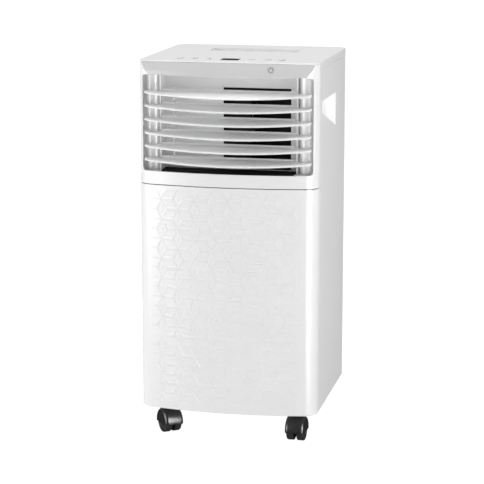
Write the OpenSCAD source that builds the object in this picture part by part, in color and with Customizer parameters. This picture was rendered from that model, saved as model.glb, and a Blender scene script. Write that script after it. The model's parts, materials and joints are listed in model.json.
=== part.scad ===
/* [Cabinet] */
// Width of the cabinet across its flat sides
cab_w = 332; // [326:1:340]
// Depth of the cabinet from the middle of the bowed front to the flat rear
cab_d = 336; // [330:1:350]
// Height of the top face above the floor
cab_h = 703; // [700:1:712]
// Gap between the floor and the underside of the cabinet
ground_gap = 55; // [55:1:57]
// Thickness of the moulded panels
wall = 2.5; // [2:0.1:3]
// Radius of the two front corners
front_corner_r = 28; // [26:1:30]
// Distance from the front of the bow back to the centre of a front corner
bow_depth = 42; // [40:1:44]
// Radius of the two rear corners
rear_corner_r = 22; // [18:1:24]
// How far the exhaust collar stands out of the rear panel
collar_out = 12; // [8:1:14]

/* [Front] */
// Height of the seam between the lower front panel and the outlet bezel
seam_z = 478; // [476:1:480]
// Height of the lower edge of the louvre opening
opening_low = 502; // [501:1:503]
// Height of the upper edge of the louvre opening
opening_top = 678; // [677:1:679]
// Half the width of the louvre opening, round the corners
opening_half_w = 157.5; // [156:0.5:158]
// Setback of the slanted forehead at its lower edge
brow_low_back = 14; // [13:1:15]
// Setback of the slanted forehead at the top face
brow_top_back = 25; // [23:1:27]

/* [Louvres] */
// Number of louvre blades (one node and one hinge each)
louver_count = 6; // [6]
// Height of the top blade's hinge line
louver_top_z = 649; // [648:1:650]
// Distance between two hinge lines
louver_pitch = 24.5; // [24.2:0.1:25]
// Downward tilt of the blades at rest
louver_tilt = 20; // [16:1:22]
// Thickness of a blade
louver_t = 2.4; // [2:0.1:2.6]
// Radius of a blade's hinge pin
louver_pin_r = 2; // [1.8:0.1:2.2]

/* [Casters] */
// Radius of a caster wheel
caster_wheel_r = 21; // [20:0.5:21.5]
// Width over both wheels of one caster
caster_wheels_w = 33; // [31:1:35]
// Distance of the front casters' stems from the middle plane
caster_front_x = 126; // [124:1:130]
// Distance of the rear casters' stems from the middle plane
caster_rear_x = 88; // [84:1:92]
// Trail of the wheel axle behind the stem
caster_trail = 12; // [10:1:13]

/* [Controls] */
// Width of one key
key_w = 17; // [14:1:18]
// Depth of one key
key_d = 12; // [10:1:13]
// Travel of one key
key_travel = 0.8; // [0.5:0.1:1]
// Width and depth of the display window
display_w = 33; // [30:1:36]
// Sideways offset of the row of keys
control_x = -4; // [-6:1:0]

/* [Hidden] */

white = "white";
shade = "gainsboro";
dark = "#222222";
steel = "silver";
copper = "#b87333";

// plan of the cabinet
half_w = cab_w / 2;
front_y = -(cab_d + collar_out) / 2;
rear_y = front_y + cab_d;
corner_y = front_y + bow_depth;
bow_span = half_w - front_corner_r;
bow_r = (bow_span * bow_span + bow_depth * bow_depth - front_corner_r * front_corner_r)
    / (2 * (bow_depth - front_corner_r));
bow_half_angle = asin(bow_span / (bow_r - front_corner_r));
bow_steps = 12;
corner_steps = 7;
gap = 0.4;
lap = 0.01;
split_front_y = corner_y + 6;
split_rear_y = rear_y - rear_corner_r - 2;
base_z = ground_gap;
panel_low = base_z + 1;
skirt_z = cab_h - 13;
plate_z = cab_h - wall;

// louvres
hinge_y = front_y + 33;
louver_edge_inset = 1.2;
louver_tail = 2;
arm_cut_r = 18;
post_r = 14;
post_x = 143;
post_y = front_y + 44;
cheek_x = 125;
cheek_t = 2.5;
cheek_front_y = hinge_y - 3;
duct_wall_y = front_y + 58;
shelf_t = 2.5;
pin_play = 0.07;
link_x = -100;
link_back = 10;
link_reach = 7.5;
link_pin_r = 1.5;
louver_lug_t = 3;

// outlet hole in the duct wall
outlet_x0 = -15;
outlet_x1 = 110;
outlet_z0 = 505;
outlet_z1 = 653;

// side handles
handle_y0 = -112;
handle_y1 = 32;
handle_low = 568;
handle_front_low = 611;
handle_top = 632;
handle_deep = 26;
handle_shallow = 12;
handle_wall = 2;

// rear face
filter_w = 250;
filter_z0 = 512;
filter_z1 = 672;
filter_t = 9;
exhaust_x = 62;
exhaust_z = 398;
exhaust_bore_r = 64;
exhaust_wall = 3;
lower_grille_w = 240;
lower_grille_z0 = 112;
lower_grille_z1 = 290;
slat_pitch = 14;
slat_gap = 8;
drain_r = 8;
drain_x = -110;
upper_drain_z = 466;
lower_drain_z = 76;
gland_x = 128;
gland_z = 330;
hook_x = -110;
hook_low_z = 345;
hook_top_z = 425;

// fans
cool_x = -48;
cool_z = 582;
cool_wheel_r = 74;
cool_front_y = front_y + 112;
cool_deep = 82;
hot_x = -68;
hot_z = 385;
hot_wheel_r = 58;
hot_front_y = 62;
hot_deep = 74;

// caster stems
stem_r = 4;
stem_top = base_z + 20;
front_caster_y = -114;
rear_caster_y = 118;

key_x = [-94, -67, -39, 39, 69, 95];
key_y = -108;

function arc(cx, cy, r, a0, a1, n) =
    [for (i = [0:n]) let (a = a0 + (a1 - a0) * i / n) [cx + r * cos(a), cy + r * sin(a)]];

// outline of the cabinet seen from above, moved inwards by the inset
function plan(inset = 0) = concat(
    arc(0, front_y + bow_r, bow_r - inset, 270 - bow_half_angle, 270 + bow_half_angle, bow_steps),
    arc(bow_span, corner_y, front_corner_r - inset, 270 + bow_half_angle + 6, 360, corner_steps),
    arc(half_w - rear_corner_r, rear_y - rear_corner_r, rear_corner_r - inset, 0, 90, corner_steps),
    arc(-(half_w - rear_corner_r), rear_y - rear_corner_r, rear_corner_r - inset, 90, 180,
        corner_steps),
    arc(-bow_span, corner_y, front_corner_r - inset, 180, 270 - bow_half_angle - 6, corner_steps));

module block(x0, x1, y0, y1, z0, z1) {
    translate([x0, y0, z0])
        cube([x1 - x0, y1 - y0, z1 - z0]);
}

module mirrored() {
    children();
    mirror([1, 0, 0]) children();
}

module slab(inset, z0, z1) {
    translate([0, 0, z0])
        linear_extrude(z1 - z0)
            polygon(plan(inset));
}

module ring(inset, thick, z0, z1) {
    difference() {
        slab(inset, z0, z1);
        slab(inset + thick, z0 - 1, z1 + 1);
    }
}

module rod_x(r, x0, x1, y, z) {
    translate([x0, y, z])
        rotate([0, 90, 0])
            cylinder(r = r, h = x1 - x0, $fn = 48);
}

module rod_y(r, x, y0, y1, z) {
    translate([x, y0, z])
        rotate([-90, 0, 0])
            cylinder(r = r, h = y1 - y0, $fn = 72);
}

module rod_z(r, x, y, z0, z1) {
    translate([x, y, z0])
        cylinder(r = r, h = z1 - z0, $fn = 72);
}

// everything in front of the slanted forehead, moved back by the given distance
module brow_space(back = 0) {
    rise = cab_h - opening_top;
    lean = (brow_top_back - brow_low_back) / rise;
    over = 8;
    translate([half_w + over, 0, 0])
        rotate([0, -90, 0])
            linear_extrude(cab_w + 2 * over)
                polygon([
                    [opening_top, front_y - over],
                    [opening_top, front_y + brow_low_back + back],
                    [cab_h + over, front_y + brow_top_back + back + lean * over],
                    [cab_h + over, front_y - over]]);
}

// ---- cabinet ----

module base_tray() {
    inset = wall + 0.5;
    floor_t = 4;
    rim_z = base_z + 24;
    boss_r = 9;
    boss_top = stem_top + 3;
    stud_r = 3;
    color(shade)
        difference() {
            union() {
                slab(inset, base_z, base_z + floor_t);
                ring(inset, 2, base_z, rim_z);
                for (s = [-1, 1]) {
                    rod_z(boss_r, s * caster_front_x, front_caster_y, base_z, boss_top);
                    rod_z(boss_r, s * caster_rear_x, rear_caster_y, base_z, boss_top);
                }
                for (p = foot_places)
                    rod_z(stud_r, p[0], p[1], base_z, foot_top + 4);
            }
            for (s = [-1, 1]) {
                rod_z(stem_r + pin_play, s * caster_front_x, front_caster_y, base_z - 1, stem_top);
                rod_z(stem_r + pin_play, s * caster_rear_x, rear_caster_y, base_z - 1, stem_top);
            }
            rod_y(drain_r + 0.3, drain_x, rear_y - 20, rear_y, lower_drain_z);
        }
}

module front_panel() {
    color(white)
        difference() {
            ring(0, wall, panel_low, seam_z - gap);
            block(-cab_w, cab_w, split_front_y, cab_d, base_z, seam_z);
        }
}

// a level shelf behind the bezel's skin, clear of the side panels
module bezel_shelf(z0, z1) {
    intersection() {
        slab(wall / 2, z0, z1);
        block(-cab_w, cab_w, front_y, split_front_y - 1, seam_z, cab_h);
    }
    intersection() {
        slab(wall + 0.6, z0, z1);
        block(-cab_w, cab_w, front_y, duct_wall_y + cheek_t, seam_z, cab_h);
    }
}

module outlet_bezel() {
    top = plate_z - gap;
    color(white) {
        difference() {
            union() {
                difference() {
                    ring(0, wall, seam_z + gap, top);
                    block(-cab_w, cab_w, split_front_y, cab_d, base_z, cab_h);
                }
                bezel_shelf(opening_low - shelf_t, opening_low);
                bezel_shelf(opening_top, opening_top + shelf_t);
                intersection() {
                    slab(0, opening_top, top);
                    difference() {
                        brow_space(wall);
                        brow_space(0);
                    }
                }
                mirrored() {
                    rod_z(post_r, post_x, post_y, opening_low - lap, opening_top + lap);
                    block(cheek_x + cheek_t + gap, half_w - wall / 2, post_y - 1, post_y + 3,
                        opening_low - lap, opening_top + lap);
                }
            }
            brow_space(0);
            block(-opening_half_w, opening_half_w, front_y - 1, front_y + 30,
                opening_low, opening_top - lap);
            receiver_hole(0.2);
        }
    }
}

// round window of the remote receiver, square to the forehead
receiver_r = 6.5;
receiver_x = 80;
receiver_z = 690;
brow_lean = atan2(brow_top_back - brow_low_back, cab_h - opening_top);

module receiver_place() {
    mid = (receiver_z - opening_top) / (cab_h - opening_top);
    y = front_y + brow_low_back + mid * (brow_top_back - brow_low_back);
    translate([receiver_x, y, receiver_z])
        rotate([-90 - brow_lean, 0, 0])
            children();
}

module receiver_hole(play) {
    receiver_place()
        translate([0, 0, -2])
            cylinder(r = receiver_r + play, h = 8, $fn = 48);
}

module receiver_window() {
    color(shade)
        receiver_place()
            difference() {
                cylinder(r = receiver_r, h = wall, $fn = 48);
                for (a = [0:60:300])
                    rotate([0, 0, a])
                        translate([3.6, 0, -1])
                            cylinder(r = 0.8, h = 1.8, $fn = 24);
            }
}

tray_x = 4;
tray_w = 168;
tray_y0 = 40;
tray_y1 = 90;
tray_deep = 6;
notch_w = 66;
notch_deep = 11;

module top_cover() {
    floor_low = cab_h - tray_deep - wall;
    notch_low = cab_h - notch_deep - wall;
    color(white)
        difference() {
            union() {
                slab(0, plate_z, cab_h);
                difference() {
                    ring(0, wall, skirt_z + gap, cab_h);
                    block(-cab_w, cab_w, front_y - 1, split_front_y + gap, skirt_z, plate_z);
                }
                block(tray_x - tray_w / 2 - wall, tray_x + tray_w / 2 + wall,
                    tray_y0 - wall, tray_y1 + wall, floor_low, cab_h);
                block(tray_x - notch_w / 2 - wall, tray_x + notch_w / 2 + wall,
                    tray_y1 - 30, tray_y1 + wall, notch_low, cab_h);
            }
            brow_space(0);
            block(tray_x - tray_w / 2, tray_x + tray_w / 2, tray_y0, tray_y1,
                cab_h - tray_deep, cab_h + 1);
            block(tray_x - notch_w / 2, tray_x + notch_w / 2, tray_y1 - 28, tray_y1,
                cab_h - notch_deep, cab_h + 1);
            for (x = key_x)
                translate([control_x + x, key_y, 0])
                    key_prism(0.4, plate_z - 1, cab_h + 1);
            translate([control_x, key_y, 0])
                block(-display_w / 2 - 0.2, display_w / 2 + 0.2, -display_w / 2 + 2 - 0.2,
                    display_w / 2 - 2 + 0.2, plate_z - 1, cab_h + 1);
        }
}

module side_panel() {
    hole_play = 0.3;
    color(white)
        difference() {
            ring(0, wall, panel_low, skirt_z);
            block(-cab_w, half_w - 40, -cab_d, cab_d, base_z - 1, cab_h);
            block(-cab_w, cab_w, -cab_d, split_front_y + gap, base_z - 1, cab_h);
            block(-cab_w, cab_w, split_rear_y, cab_d, base_z - 1, cab_h);
            handle_outline(-hole_play, half_w - 20, half_w + 1);
        }
}

// the grip pocket's mouth, low at the rear, moved inwards by the inset
module handle_outline(inset, x0, x1) {
    translate([x0, 0, 0])
        rotate([90, 0, 90])
            linear_extrude(x1 - x0)
                polygon([
                    [handle_y0 + inset, handle_top - inset],
                    [handle_y0 + inset, handle_front_low + inset],
                    [handle_y1 - inset, handle_low + inset],
                    [handle_y1 - inset, handle_top - inset]]);
}

module handle_cup() {
    inner = half_w - handle_deep;
    outer = half_w - handle_shallow;
    bend_y = handle_y0 + 30;
    y0 = handle_y0 + handle_wall;
    y1 = handle_y1 - handle_wall;
    difference() {
        intersection() {
            handle_outline(0, inner - handle_wall, half_w);
            translate([0, 0, handle_low - 1])
                linear_extrude(handle_top - handle_low + 2)
                    polygon([
                        [inner - handle_wall, handle_y0], [half_w + 1, handle_y0],
                        [half_w + 1, handle_y1], [outer - handle_wall, handle_y1],
                        [inner - handle_wall, bend_y]]);
        }
        intersection() {
            handle_outline(handle_wall, inner, half_w + 1);
            translate([0, 0, handle_low - 1])
                linear_extrude(handle_top - handle_low + 2)
                    polygon([
                        [inner, y0], [half_w + 1, y0], [half_w + 1, y1], [outer, y1],
                        [inner, bend_y]]);
        }
    }
}

module louvred_hole(x0, x1, z0, z1) {
    for (z = [z0:slat_pitch:z1 - slat_gap])
        block(x0, x1, rear_y - 20, rear_y + 1, z, z + slat_gap);
}

screw_places = [
    [-145, 86], [145, 86], [-145, 320], [145, 320],
    [-145, 498], [145, 498], [-145, 678], [145, 678]];
screw_r = 2;

module rear_panel() {
    frame_deep = 14;
    frame_t = 2;
    color(white)
        difference() {
            union() {
                ring(0, wall, panel_low, skirt_z);
                block(-filter_w / 2 - frame_t - gap, filter_w / 2 + frame_t + gap,
                    rear_y - frame_deep, rear_y - wall + lap,
                    filter_z0 - frame_t - gap, filter_z1 + frame_t + gap);
            }
            block(-cab_w, cab_w, -cab_d, split_rear_y + gap, base_z - 1, cab_h);
            block(-filter_w / 2 - gap, filter_w / 2 + gap, rear_y - filter_t - 3, rear_y + 1,
                filter_z0 - gap, filter_z1 + gap);
            for (i = [0:2]) {
                bay = (filter_w - 16) / 3;
                x = -filter_w / 2 + 4 + i * (bay + 4);
                block(x, x + bay, rear_y - frame_deep - 1, rear_y, filter_z0 + 4, filter_z1 - 4);
            }
            louvred_hole(-lower_grille_w / 2, -3, lower_grille_z0, lower_grille_z1);
            louvred_hole(3, lower_grille_w / 2, lower_grille_z0, lower_grille_z1);
            rod_y(exhaust_bore_r + exhaust_wall + 0.2, exhaust_x, rear_y - 20, rear_y + 1, exhaust_z);
            rod_y(drain_r + 0.3, drain_x, rear_y - 20, rear_y + 1, upper_drain_z);
            rod_y(drain_r + 0.3, drain_x, rear_y - 20, rear_y + 1, lower_drain_z);
            rod_y(gland_r + 0.1, gland_x, rear_y - 20, rear_y + 1, gland_z);
            for (p = screw_places)
                rod_y(screw_r + 0.2, p[0], rear_y - 10, rear_y + 1, p[1]);
        }
}

module cabinet_screws() {
    head_r = 3.8;
    head_t = 1.8;
    color(steel)
        for (p = screw_places)
            difference() {
                union() {
                    rod_y(screw_r, p[0], rear_y - 9, rear_y + lap, p[1]);
                    rod_y(head_r, p[0], rear_y, rear_y + head_t, p[1]);
                }
                block(p[0] - 2.4, p[0] + 2.4, rear_y + 0.8, rear_y + 3, p[1] - 0.5, p[1] + 0.5);
                block(p[0] - 0.5, p[0] + 0.5, rear_y + 0.8, rear_y + 3, p[1] - 2.4, p[1] + 2.4);
            }
}

// ---- outlet ----

module air_duct() {
    x1 = cheek_x + cheek_t;
    low = opening_low + 0.2;
    top = opening_top - 0.2;
    nozzle_t = 2;
    color(white)
        difference() {
            union() {
                block(-x1, x1, duct_wall_y, duct_wall_y + cheek_t, low, top);
                mirrored()
                    block(cheek_x, x1, cheek_front_y, duct_wall_y + lap, low, top);
                block(outlet_x0 - nozzle_t, outlet_x1 + nozzle_t, duct_wall_y, cool_front_y - gap,
                    outlet_z0 - nozzle_t, outlet_z1 + nozzle_t);
            }
            block(outlet_x0, outlet_x1, duct_wall_y - 1, cool_front_y + 1, outlet_z0, outlet_z1);
            for (k = [0:louver_count - 1])
                rod_x(louver_pin_r + pin_play, -x1 - 1, x1 + 1, hinge_y, louver_z(k));
        }
}

function louver_z(k) = louver_top_z - k * louver_pitch;

// a blade's outline in its own plane, hinge line at y = 0
function blade_outline() =
    let (stretch = 1 / cos(louver_tilt), edge = opening_half_w - 1)
    [for (p = concat([[-edge, hinge_y + louver_tail]],
        [for (q = plan(louver_edge_inset)) if (q[1] < corner_y && abs(q[0]) < edge) q],
        [[edge, hinge_y + louver_tail]]))
        [p[0], (p[1] - hinge_y) * stretch]];

function sorted_blade() =
    let (o = blade_outline(), left = [for (p = o) if (p[0] < 0) p],
        right = [for (p = o) if (p[0] >= 0) p])
    concat(by_x(left), by_x(right));

function by_x(v) = len(v) <= 1 ? v :
    let (pivot = v[floor(len(v) / 2)][0],
        less = [for (p = v) if (p[0] < pivot) p],
        same = [for (p = v) if (p[0] == pivot) p],
        more = [for (p = v) if (p[0] > pivot) p])
    concat(by_x(less), same, by_x(more));

module louver(k) {
    cut_x = cheek_x - 1.5;
    boss_r = 2.6;
    lug_w = 5;
    color(white)
        translate([0, hinge_y, louver_z(k)])
            rotate([louver_tilt, 0, 0]) {
                difference() {
                    translate([0, 0, -louver_t / 2])
                        linear_extrude(louver_t)
                            polygon(sorted_blade());
                    mirrored() {
                        rod_z(arm_cut_r, post_x, post_y - hinge_y, -9, 9);
                        block(cut_x, cab_w, -5.5, 30, -9, 9);
                    }
                }
                rod_x(boss_r, -cut_x + 0.5, cut_x - 0.5, 0, 0);
                mirrored()
                    rod_x(louver_pin_r, cut_x - 4, cheek_x + cheek_t - 0.3, 0, 0);
                block(link_x - louver_lug_t / 2, link_x + louver_lug_t / 2, 0, link_back,
                    -lug_w / 2, lug_w / 2);
                rod_x(link_pin_r, link_x - louver_lug_t / 2 - 4, link_x, link_reach, 0);
            }
}

// where the top blade's link pin is at rest
link_pin_y = hinge_y + link_reach * cos(louver_tilt);
link_pin_z = louver_top_z + link_reach * sin(louver_tilt);

module louver_link() {
    link_t = 2.4;
    link_half_w = 3.2;
    link_end = 4;
    loose_play = 0.4;
    x1 = link_x - louver_lug_t / 2 - gap;
    low = link_pin_z - (louver_count - 1) * louver_pitch;
    color(white)
        difference() {
            block(x1 - link_t, x1, link_pin_y - link_half_w, link_pin_y + link_half_w,
                low - link_end, link_pin_z + link_end);
            for (k = [0:louver_count - 1])
                rod_x(link_pin_r + (k == 0 ? pin_play : loose_play), x1 - link_t - 1, x1 + 1,
                    link_pin_y, link_pin_z - k * louver_pitch);
        }
}

// ---- controls ----

module key_prism(grow, z0, z1) {
    r = 3 + grow;
    for (sx = [-1, 1])
        for (sy = [-1, 1])
            rod_z(r, sx * (key_w / 2 - 3), sy * (key_d / 2 - 3), z0, z1);
    block(-key_w / 2 - grow, key_w / 2 + grow, -key_d / 2 + 3, key_d / 2 - 3, z0, z1);
    block(-key_w / 2 + 3, key_w / 2 - 3, -key_d / 2 - grow, key_d / 2 + grow, z0, z1);
}

board_top = plate_z - 6;

module key(i) {
    stem_r = 2;
    color(white)
        translate([control_x + key_x[i], key_y, 0]) {
            key_prism(0, plate_z, cab_h - 0.05);
            rod_z(stem_r, 0, 0, board_top + 3 + key_travel + 0.1, plate_z + lap);
        }
}

module display_window() {
    half_d = display_w / 2 - 2;
    color(dark)
        translate([control_x, key_y, 0])
            block(-display_w / 2, display_w / 2, -half_d, half_d, plate_z, cab_h - 0.05);
}

module control_board() {
    board_t = 1.6;
    half_l = 112;
    color("seagreen")
        translate([control_x, key_y, 0]) {
            block(-half_l, half_l, -20, 20, board_top - board_t, board_top);
            for (x = key_x)
                translate([x, 0, 0]) {
                    block(-3, 3, -3, 3, board_top - lap, board_top + 2);
                    rod_z(1.6, 0, 0, board_top + 2 - lap, board_top + 3);
                }
            block(-14, 14, -10, 10, board_top - lap, board_top + 4);
        }
}

// ---- rear pieces ----

module filter_frame() {
    border = 9;
    rib_w = 5;
    color(white)
        difference() {
            block(-filter_w / 2, filter_w / 2, rear_y - filter_t, rear_y, filter_z0, filter_z1);
            for (i = [0:2]) {
                bay = (filter_w - 2 * border - 2 * rib_w) / 3;
                x = -filter_w / 2 + border + i * (bay + rib_w);
                for (z = [filter_z0 + border:slat_pitch:filter_z1 - border - slat_gap])
                    block(x, x + bay, rear_y - filter_t - 1, rear_y + 1, z, z + slat_gap);
            }
            block(-filter_w / 2 + border, filter_w / 2 - border, rear_y - filter_t - 1,
                rear_y - 4, filter_z0 + border, filter_z1 - border);
            mirrored()
                block(90, 108, rear_y - 3, rear_y + 1, filter_z1 - 6, filter_z1 + 1);
        }
}

module filter_mesh() {
    border = 9;
    mesh_t = 1.2;
    color("dimgray")
        block(-filter_w / 2 + border + 0.2, filter_w / 2 - border - 0.2, rear_y - 4 - 0.1 - mesh_t,
            rear_y - 4 - 0.1, filter_z0 + border + 0.2, filter_z1 - border - 0.2);
}

module exhaust_collar() {
    flange_r = 74;
    outer_r = exhaust_bore_r + exhaust_wall;
    inner_y = rear_y - 18;
    color(shade)
        difference() {
            union() {
                rod_y(outer_r, exhaust_x, inner_y, rear_y + collar_out, exhaust_z);
                rod_y(flange_r, exhaust_x, rear_y + gap / 4, rear_y + 3, exhaust_z);
            }
            rod_y(exhaust_bore_r, exhaust_x, inner_y - 1, rear_y + collar_out + 1, exhaust_z);
        }
}

module drain_spouts() {
    bore_r = 5;
    color(shade)
        for (z = [upper_drain_z, lower_drain_z])
            difference() {
                rod_y(drain_r, drain_x, rear_y - 22, rear_y - 0.5, z);
                rod_y(bore_r, drain_x, rear_y - 30, rear_y + 1, z);
            }
}

module drain_cap(z) {
    plug_r = 4.93;
    head_r = 11;
    color(dark) {
        rod_y(plug_r, drain_x, rear_y - 12, rear_y + 0.6, z);
        difference() {
            rod_y(head_r, drain_x, rear_y + 0.4, rear_y + 4, z);
            block(drain_x - 12, drain_x - 7, rear_y - 1, rear_y + 5, z - 2, z + 2);
        }
        block(drain_x - 1.5, drain_x + 1.5, rear_y + 3.9, rear_y + 9, z - 7, z + 7);
    }
}

gland_r = 9;

module cord_gland() {
    bore_r = 4;
    color(dark)
        difference() {
            union() {
                rod_y(gland_r, gland_x, rear_y - 8, rear_y + lap, gland_z);
                rod_y(gland_r + 3, gland_x, rear_y + 0.05, rear_y + 3, gland_z);
                rod_y(gland_r - 2, gland_x, rear_y, rear_y + 10, gland_z);
            }
            rod_y(bore_r, gland_x, rear_y - 9, rear_y + 11, gland_z);
        }
}

module cord_hooks() {
    arm_h = 4;
    half = 14;
    reach = 8;
    tip_t = 3;
    tip_h = 13;
    color(white)
        for (z = [hook_low_z, hook_top_z]) {
            up = z == hook_top_z ? 1 : -1;
            block(hook_x - half, hook_x + half, rear_y + 0.05, rear_y + reach,
                z - arm_h / 2, z + arm_h / 2);
            block(hook_x - half, hook_x + half, rear_y + reach - lap, rear_y + reach + tip_t,
                min(z - up * arm_h / 2, z + up * tip_h), max(z - up * arm_h / 2, z + up * tip_h));
        }
}

// ---- inside ----

compressor_x = 62;
compressor_y = -48;
compressor_r = 56;
foot_top = base_z + 18;
foot_orbit = 62;
foot_places = [for (a = [30, 150, 270])
    [compressor_x + foot_orbit * cos(a), compressor_y + foot_orbit * sin(a)]];
shell_low = foot_top + 6;
shell_high = 285;

module compressor() {
    dome = 16;
    neck = 18;
    tank_r = 24;
    tank_x = compressor_x - 92;
    tank_low = 120;
    tank_high = 240;
    color(dark)
        union() {
            translate([compressor_x, compressor_y, 0])
                rotate_extrude($fn = 96)
                    polygon(concat(
                        [[0, shell_low]],
                        arc(compressor_r - dome, shell_low + dome, dome, 270, 360, 5),
                        arc(compressor_r - dome, shell_high - dome, dome, 0, 90, 5),
                        [[neck, shell_high], [neck, shell_high + 10], [0, shell_high + 10]]));
            for (p = foot_places)
                difference() {
                    rod_z(13, p[0], p[1], foot_top + 0.2, foot_top + 4);
                    rod_z(3.3, p[0], p[1], foot_top - 1, foot_top + 8);
                }
            rod_z(compressor_r - 6, compressor_x, compressor_y, foot_top + 1, shell_low + 6);
            translate([tank_x, compressor_y, 0])
                rotate_extrude($fn = 64)
                    polygon(concat(
                        [[0, tank_low]],
                        arc(tank_r - 10, tank_low + 10, 10, 270, 360, 4),
                        arc(tank_r - 10, tank_high - 10, 10, 0, 90, 4),
                        [[0, tank_high]]));
            block(tank_x, compressor_x, compressor_y - 7, compressor_y + 7, 165, 185);
        }
}

module compressor_feet() {
    color("black")
        for (p = foot_places)
            difference() {
                union() {
                    rod_z(11, p[0], p[1], base_z + 4.1, foot_top);
                    rod_z(7, p[0], p[1], foot_top - lap, foot_top + 0.1);
                }
                rod_z(3.2, p[0], p[1], base_z, foot_top + 1);
            }
}

coil_low = 84;
coil_high = 300;
coil_w = 236;
coil_y0 = 104;
coil_t = 32;
evap_low = 500;
evap_high = 676;
evap_y0 = 106;

// a finned coil: a pack of fins with end plates and return bends
module coil(w, y0, t, z0, z1, bend_pitch) {
    fin_gap = 1.2;
    fin_pitch = 12;
    plate_t = 2;
    difference() {
        block(-w / 2, w / 2, y0, y0 + t, z0, z1);
        for (x = [-w / 2 + fin_pitch:fin_pitch:w / 2 - fin_pitch])
            block(x, x + fin_gap, y0 - 1, y0 + 4, z0 + plate_t, z1 - plate_t);
        for (x = [-w / 2 + fin_pitch:fin_pitch:w / 2 - fin_pitch])
            block(x, x + fin_gap, y0 + t - 4, y0 + t + 1, z0 + plate_t, z1 - plate_t);
    }
    for (s = [-1, 1])
        for (z = [z0 + bend_pitch / 2:bend_pitch:z1 - bend_pitch / 2])
            rod_x(3.5, s > 0 ? w / 2 - lap : -w / 2 - 7, s > 0 ? w / 2 + 7 : -w / 2 + lap,
                y0 + t / 2, z);
}

module condenser() {
    color(steel)
        coil(coil_w, coil_y0, coil_t, coil_low, coil_high, 24);
}

module evaporator() {
    color(steel)
        coil(coil_w, evap_y0, coil_t, evap_low, evap_high, 22);
}

pan_low = 478;

module drip_pan() {
    floor_t = 2;
    rim = 16;
    half = 150;
    y1 = 144;
    y0 = -100;
    color(shade)
        difference() {
            block(-half, half, y0, y1, pan_low, pan_low + rim);
            block(-half + floor_t, half - floor_t, y0 + floor_t, y1 - floor_t,
                pan_low + floor_t, pan_low + rim + 1);
            rod_z(7, 128, -60, pan_low - 1, pan_low + rim);
            rod_z(7, 128, 54, pan_low - 1, pan_low + rim);
        }
}

module pipe_run(r, pts) {
    for (i = [0:len(pts) - 2]) {
        a = pts[i];
        b = pts[i + 1];
        d = b - a;
        len_ab = norm(d);
        translate(a)
            rotate([0, acos(d[2] / len_ab), atan2(d[1], d[0])])
                cylinder(r = r, h = len_ab, $fn = 32);
        if (i > 0)
            translate(a)
                sphere(r = r, $fn = 32);
    }
}

module refrigerant_pipes() {
    top = shell_high + 10.1;
    color(copper) {
        pipe_run(4, [[compressor_x, compressor_y, top], [compressor_x, compressor_y, 320],
            [140, compressor_y, 320], [140, 120, 320], [140, 120, 250], [126, 120, 250]]);
        pipe_run(5, [[compressor_x - 92, compressor_y, 240.1], [compressor_x - 92, compressor_y, 306],
            [compressor_x - 92, -60, 306], [128, -60, 306], [128, -60, 540], [128, 122, 540],
            [126, 122, 540]]);
        pipe_run(3, [[-126, 120, 140], [-140, 120, 140], [-140, 54, 140], [-140, 54, 330],
            [128, 54, 330], [128, 54, 520], [134, 54, 520], [134, 120, 520], [126, 120, 520]]);
    }
}

// a drum-shaped fan wheel turning about a line along y
module fan_wheel(x, z, r, y0, y1, blades) {
    plate_t = 3;
    rim_w = 12;
    hub_r = 12;
    hub_len = 22;
    blade_t = 2;
    rod_y(r, x, y0, y0 + plate_t, z);
    difference() {
        rod_y(r, x, y1 - plate_t, y1, z);
        rod_y(r - rim_w, x, y1 - plate_t - 1, y1 + 1, z);
    }
    for (i = [0:blades - 1])
        translate([x, 0, z])
            rotate([0, i * 360 / blades, 0])
                block(r - rim_w + 1, r - 1, y0 + lap, y1 - lap, -blade_t / 2, blade_t / 2);
    rod_y(hub_r, x, y0, y0 + hub_len, z);
    rod_y(shaft_r, x, y0 - shaft_reach, y0 + lap, z);
}

shaft_r = 4;
shaft_reach = 36;
wheel_clear = 6;

module cool_fan_wheel() {
    color(shade)
        fan_wheel(cool_x, cool_z, cool_wheel_r, cool_front_y + wheel_clear,
            cool_front_y + cool_deep - wheel_clear, 24);
}

module hot_fan_wheel() {
    color(shade)
        fan_wheel(hot_x, hot_z, hot_wheel_r, hot_front_y + wheel_clear,
            hot_front_y + hot_deep - wheel_clear, 20);
}

module fan_motor(x, z, r, y_face, deep) {
    cap_r = r * 0.4;
    cap_t = 5;
    color(steel)
        difference() {
            union() {
                rod_y(r, x, y_face - deep, y_face, z);
                rod_y(cap_r, x, y_face - deep - cap_t, y_face - deep + lap, z);
            }
            rod_y(shaft_r + pin_play, x, y_face - shaft_reach + wheel_clear - 1, y_face + 1, z);
        }
}

module cool_fan_motor() {
    fan_motor(cool_x, cool_z, 30, cool_front_y - 0.2, 42);
}

module hot_fan_motor() {
    fan_motor(hot_x, hot_z, 32, hot_front_y - 0.2, 46);
}

// a scroll case: a drum beside a straight outlet box, open where the air comes in and goes out
module cool_fan_housing() {
    t = 2;
    drum_r = cool_wheel_r + 11;
    y0 = cool_front_y;
    y1 = cool_front_y + cool_deep;
    inlet_r = cool_wheel_r - 14;
    color(shade)
        difference() {
            union() {
                rod_y(drum_r, cool_x, y0, y1, cool_z);
                block(cool_x, outlet_x1 + t, y0, y1, outlet_z0 - 5, outlet_z1 + 5);
            }
            rod_y(drum_r - t, cool_x, y0 + t, y1 - t, cool_z);
            block(cool_x, outlet_x1, y0 + t, y1 - t, outlet_z0 - 3, outlet_z1 + 3);
            block(outlet_x0 + 38, outlet_x1 - 4, y0 - 1, y0 + t + 1, outlet_z0 + 2, outlet_z1 - 2);
            rod_y(inlet_r, cool_x, y1 - t - 1, y1 + 1, cool_z);
            rod_y(shaft_r + 3, cool_x, y0 - 1, y0 + t + 1, cool_z);
        }
}

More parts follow.
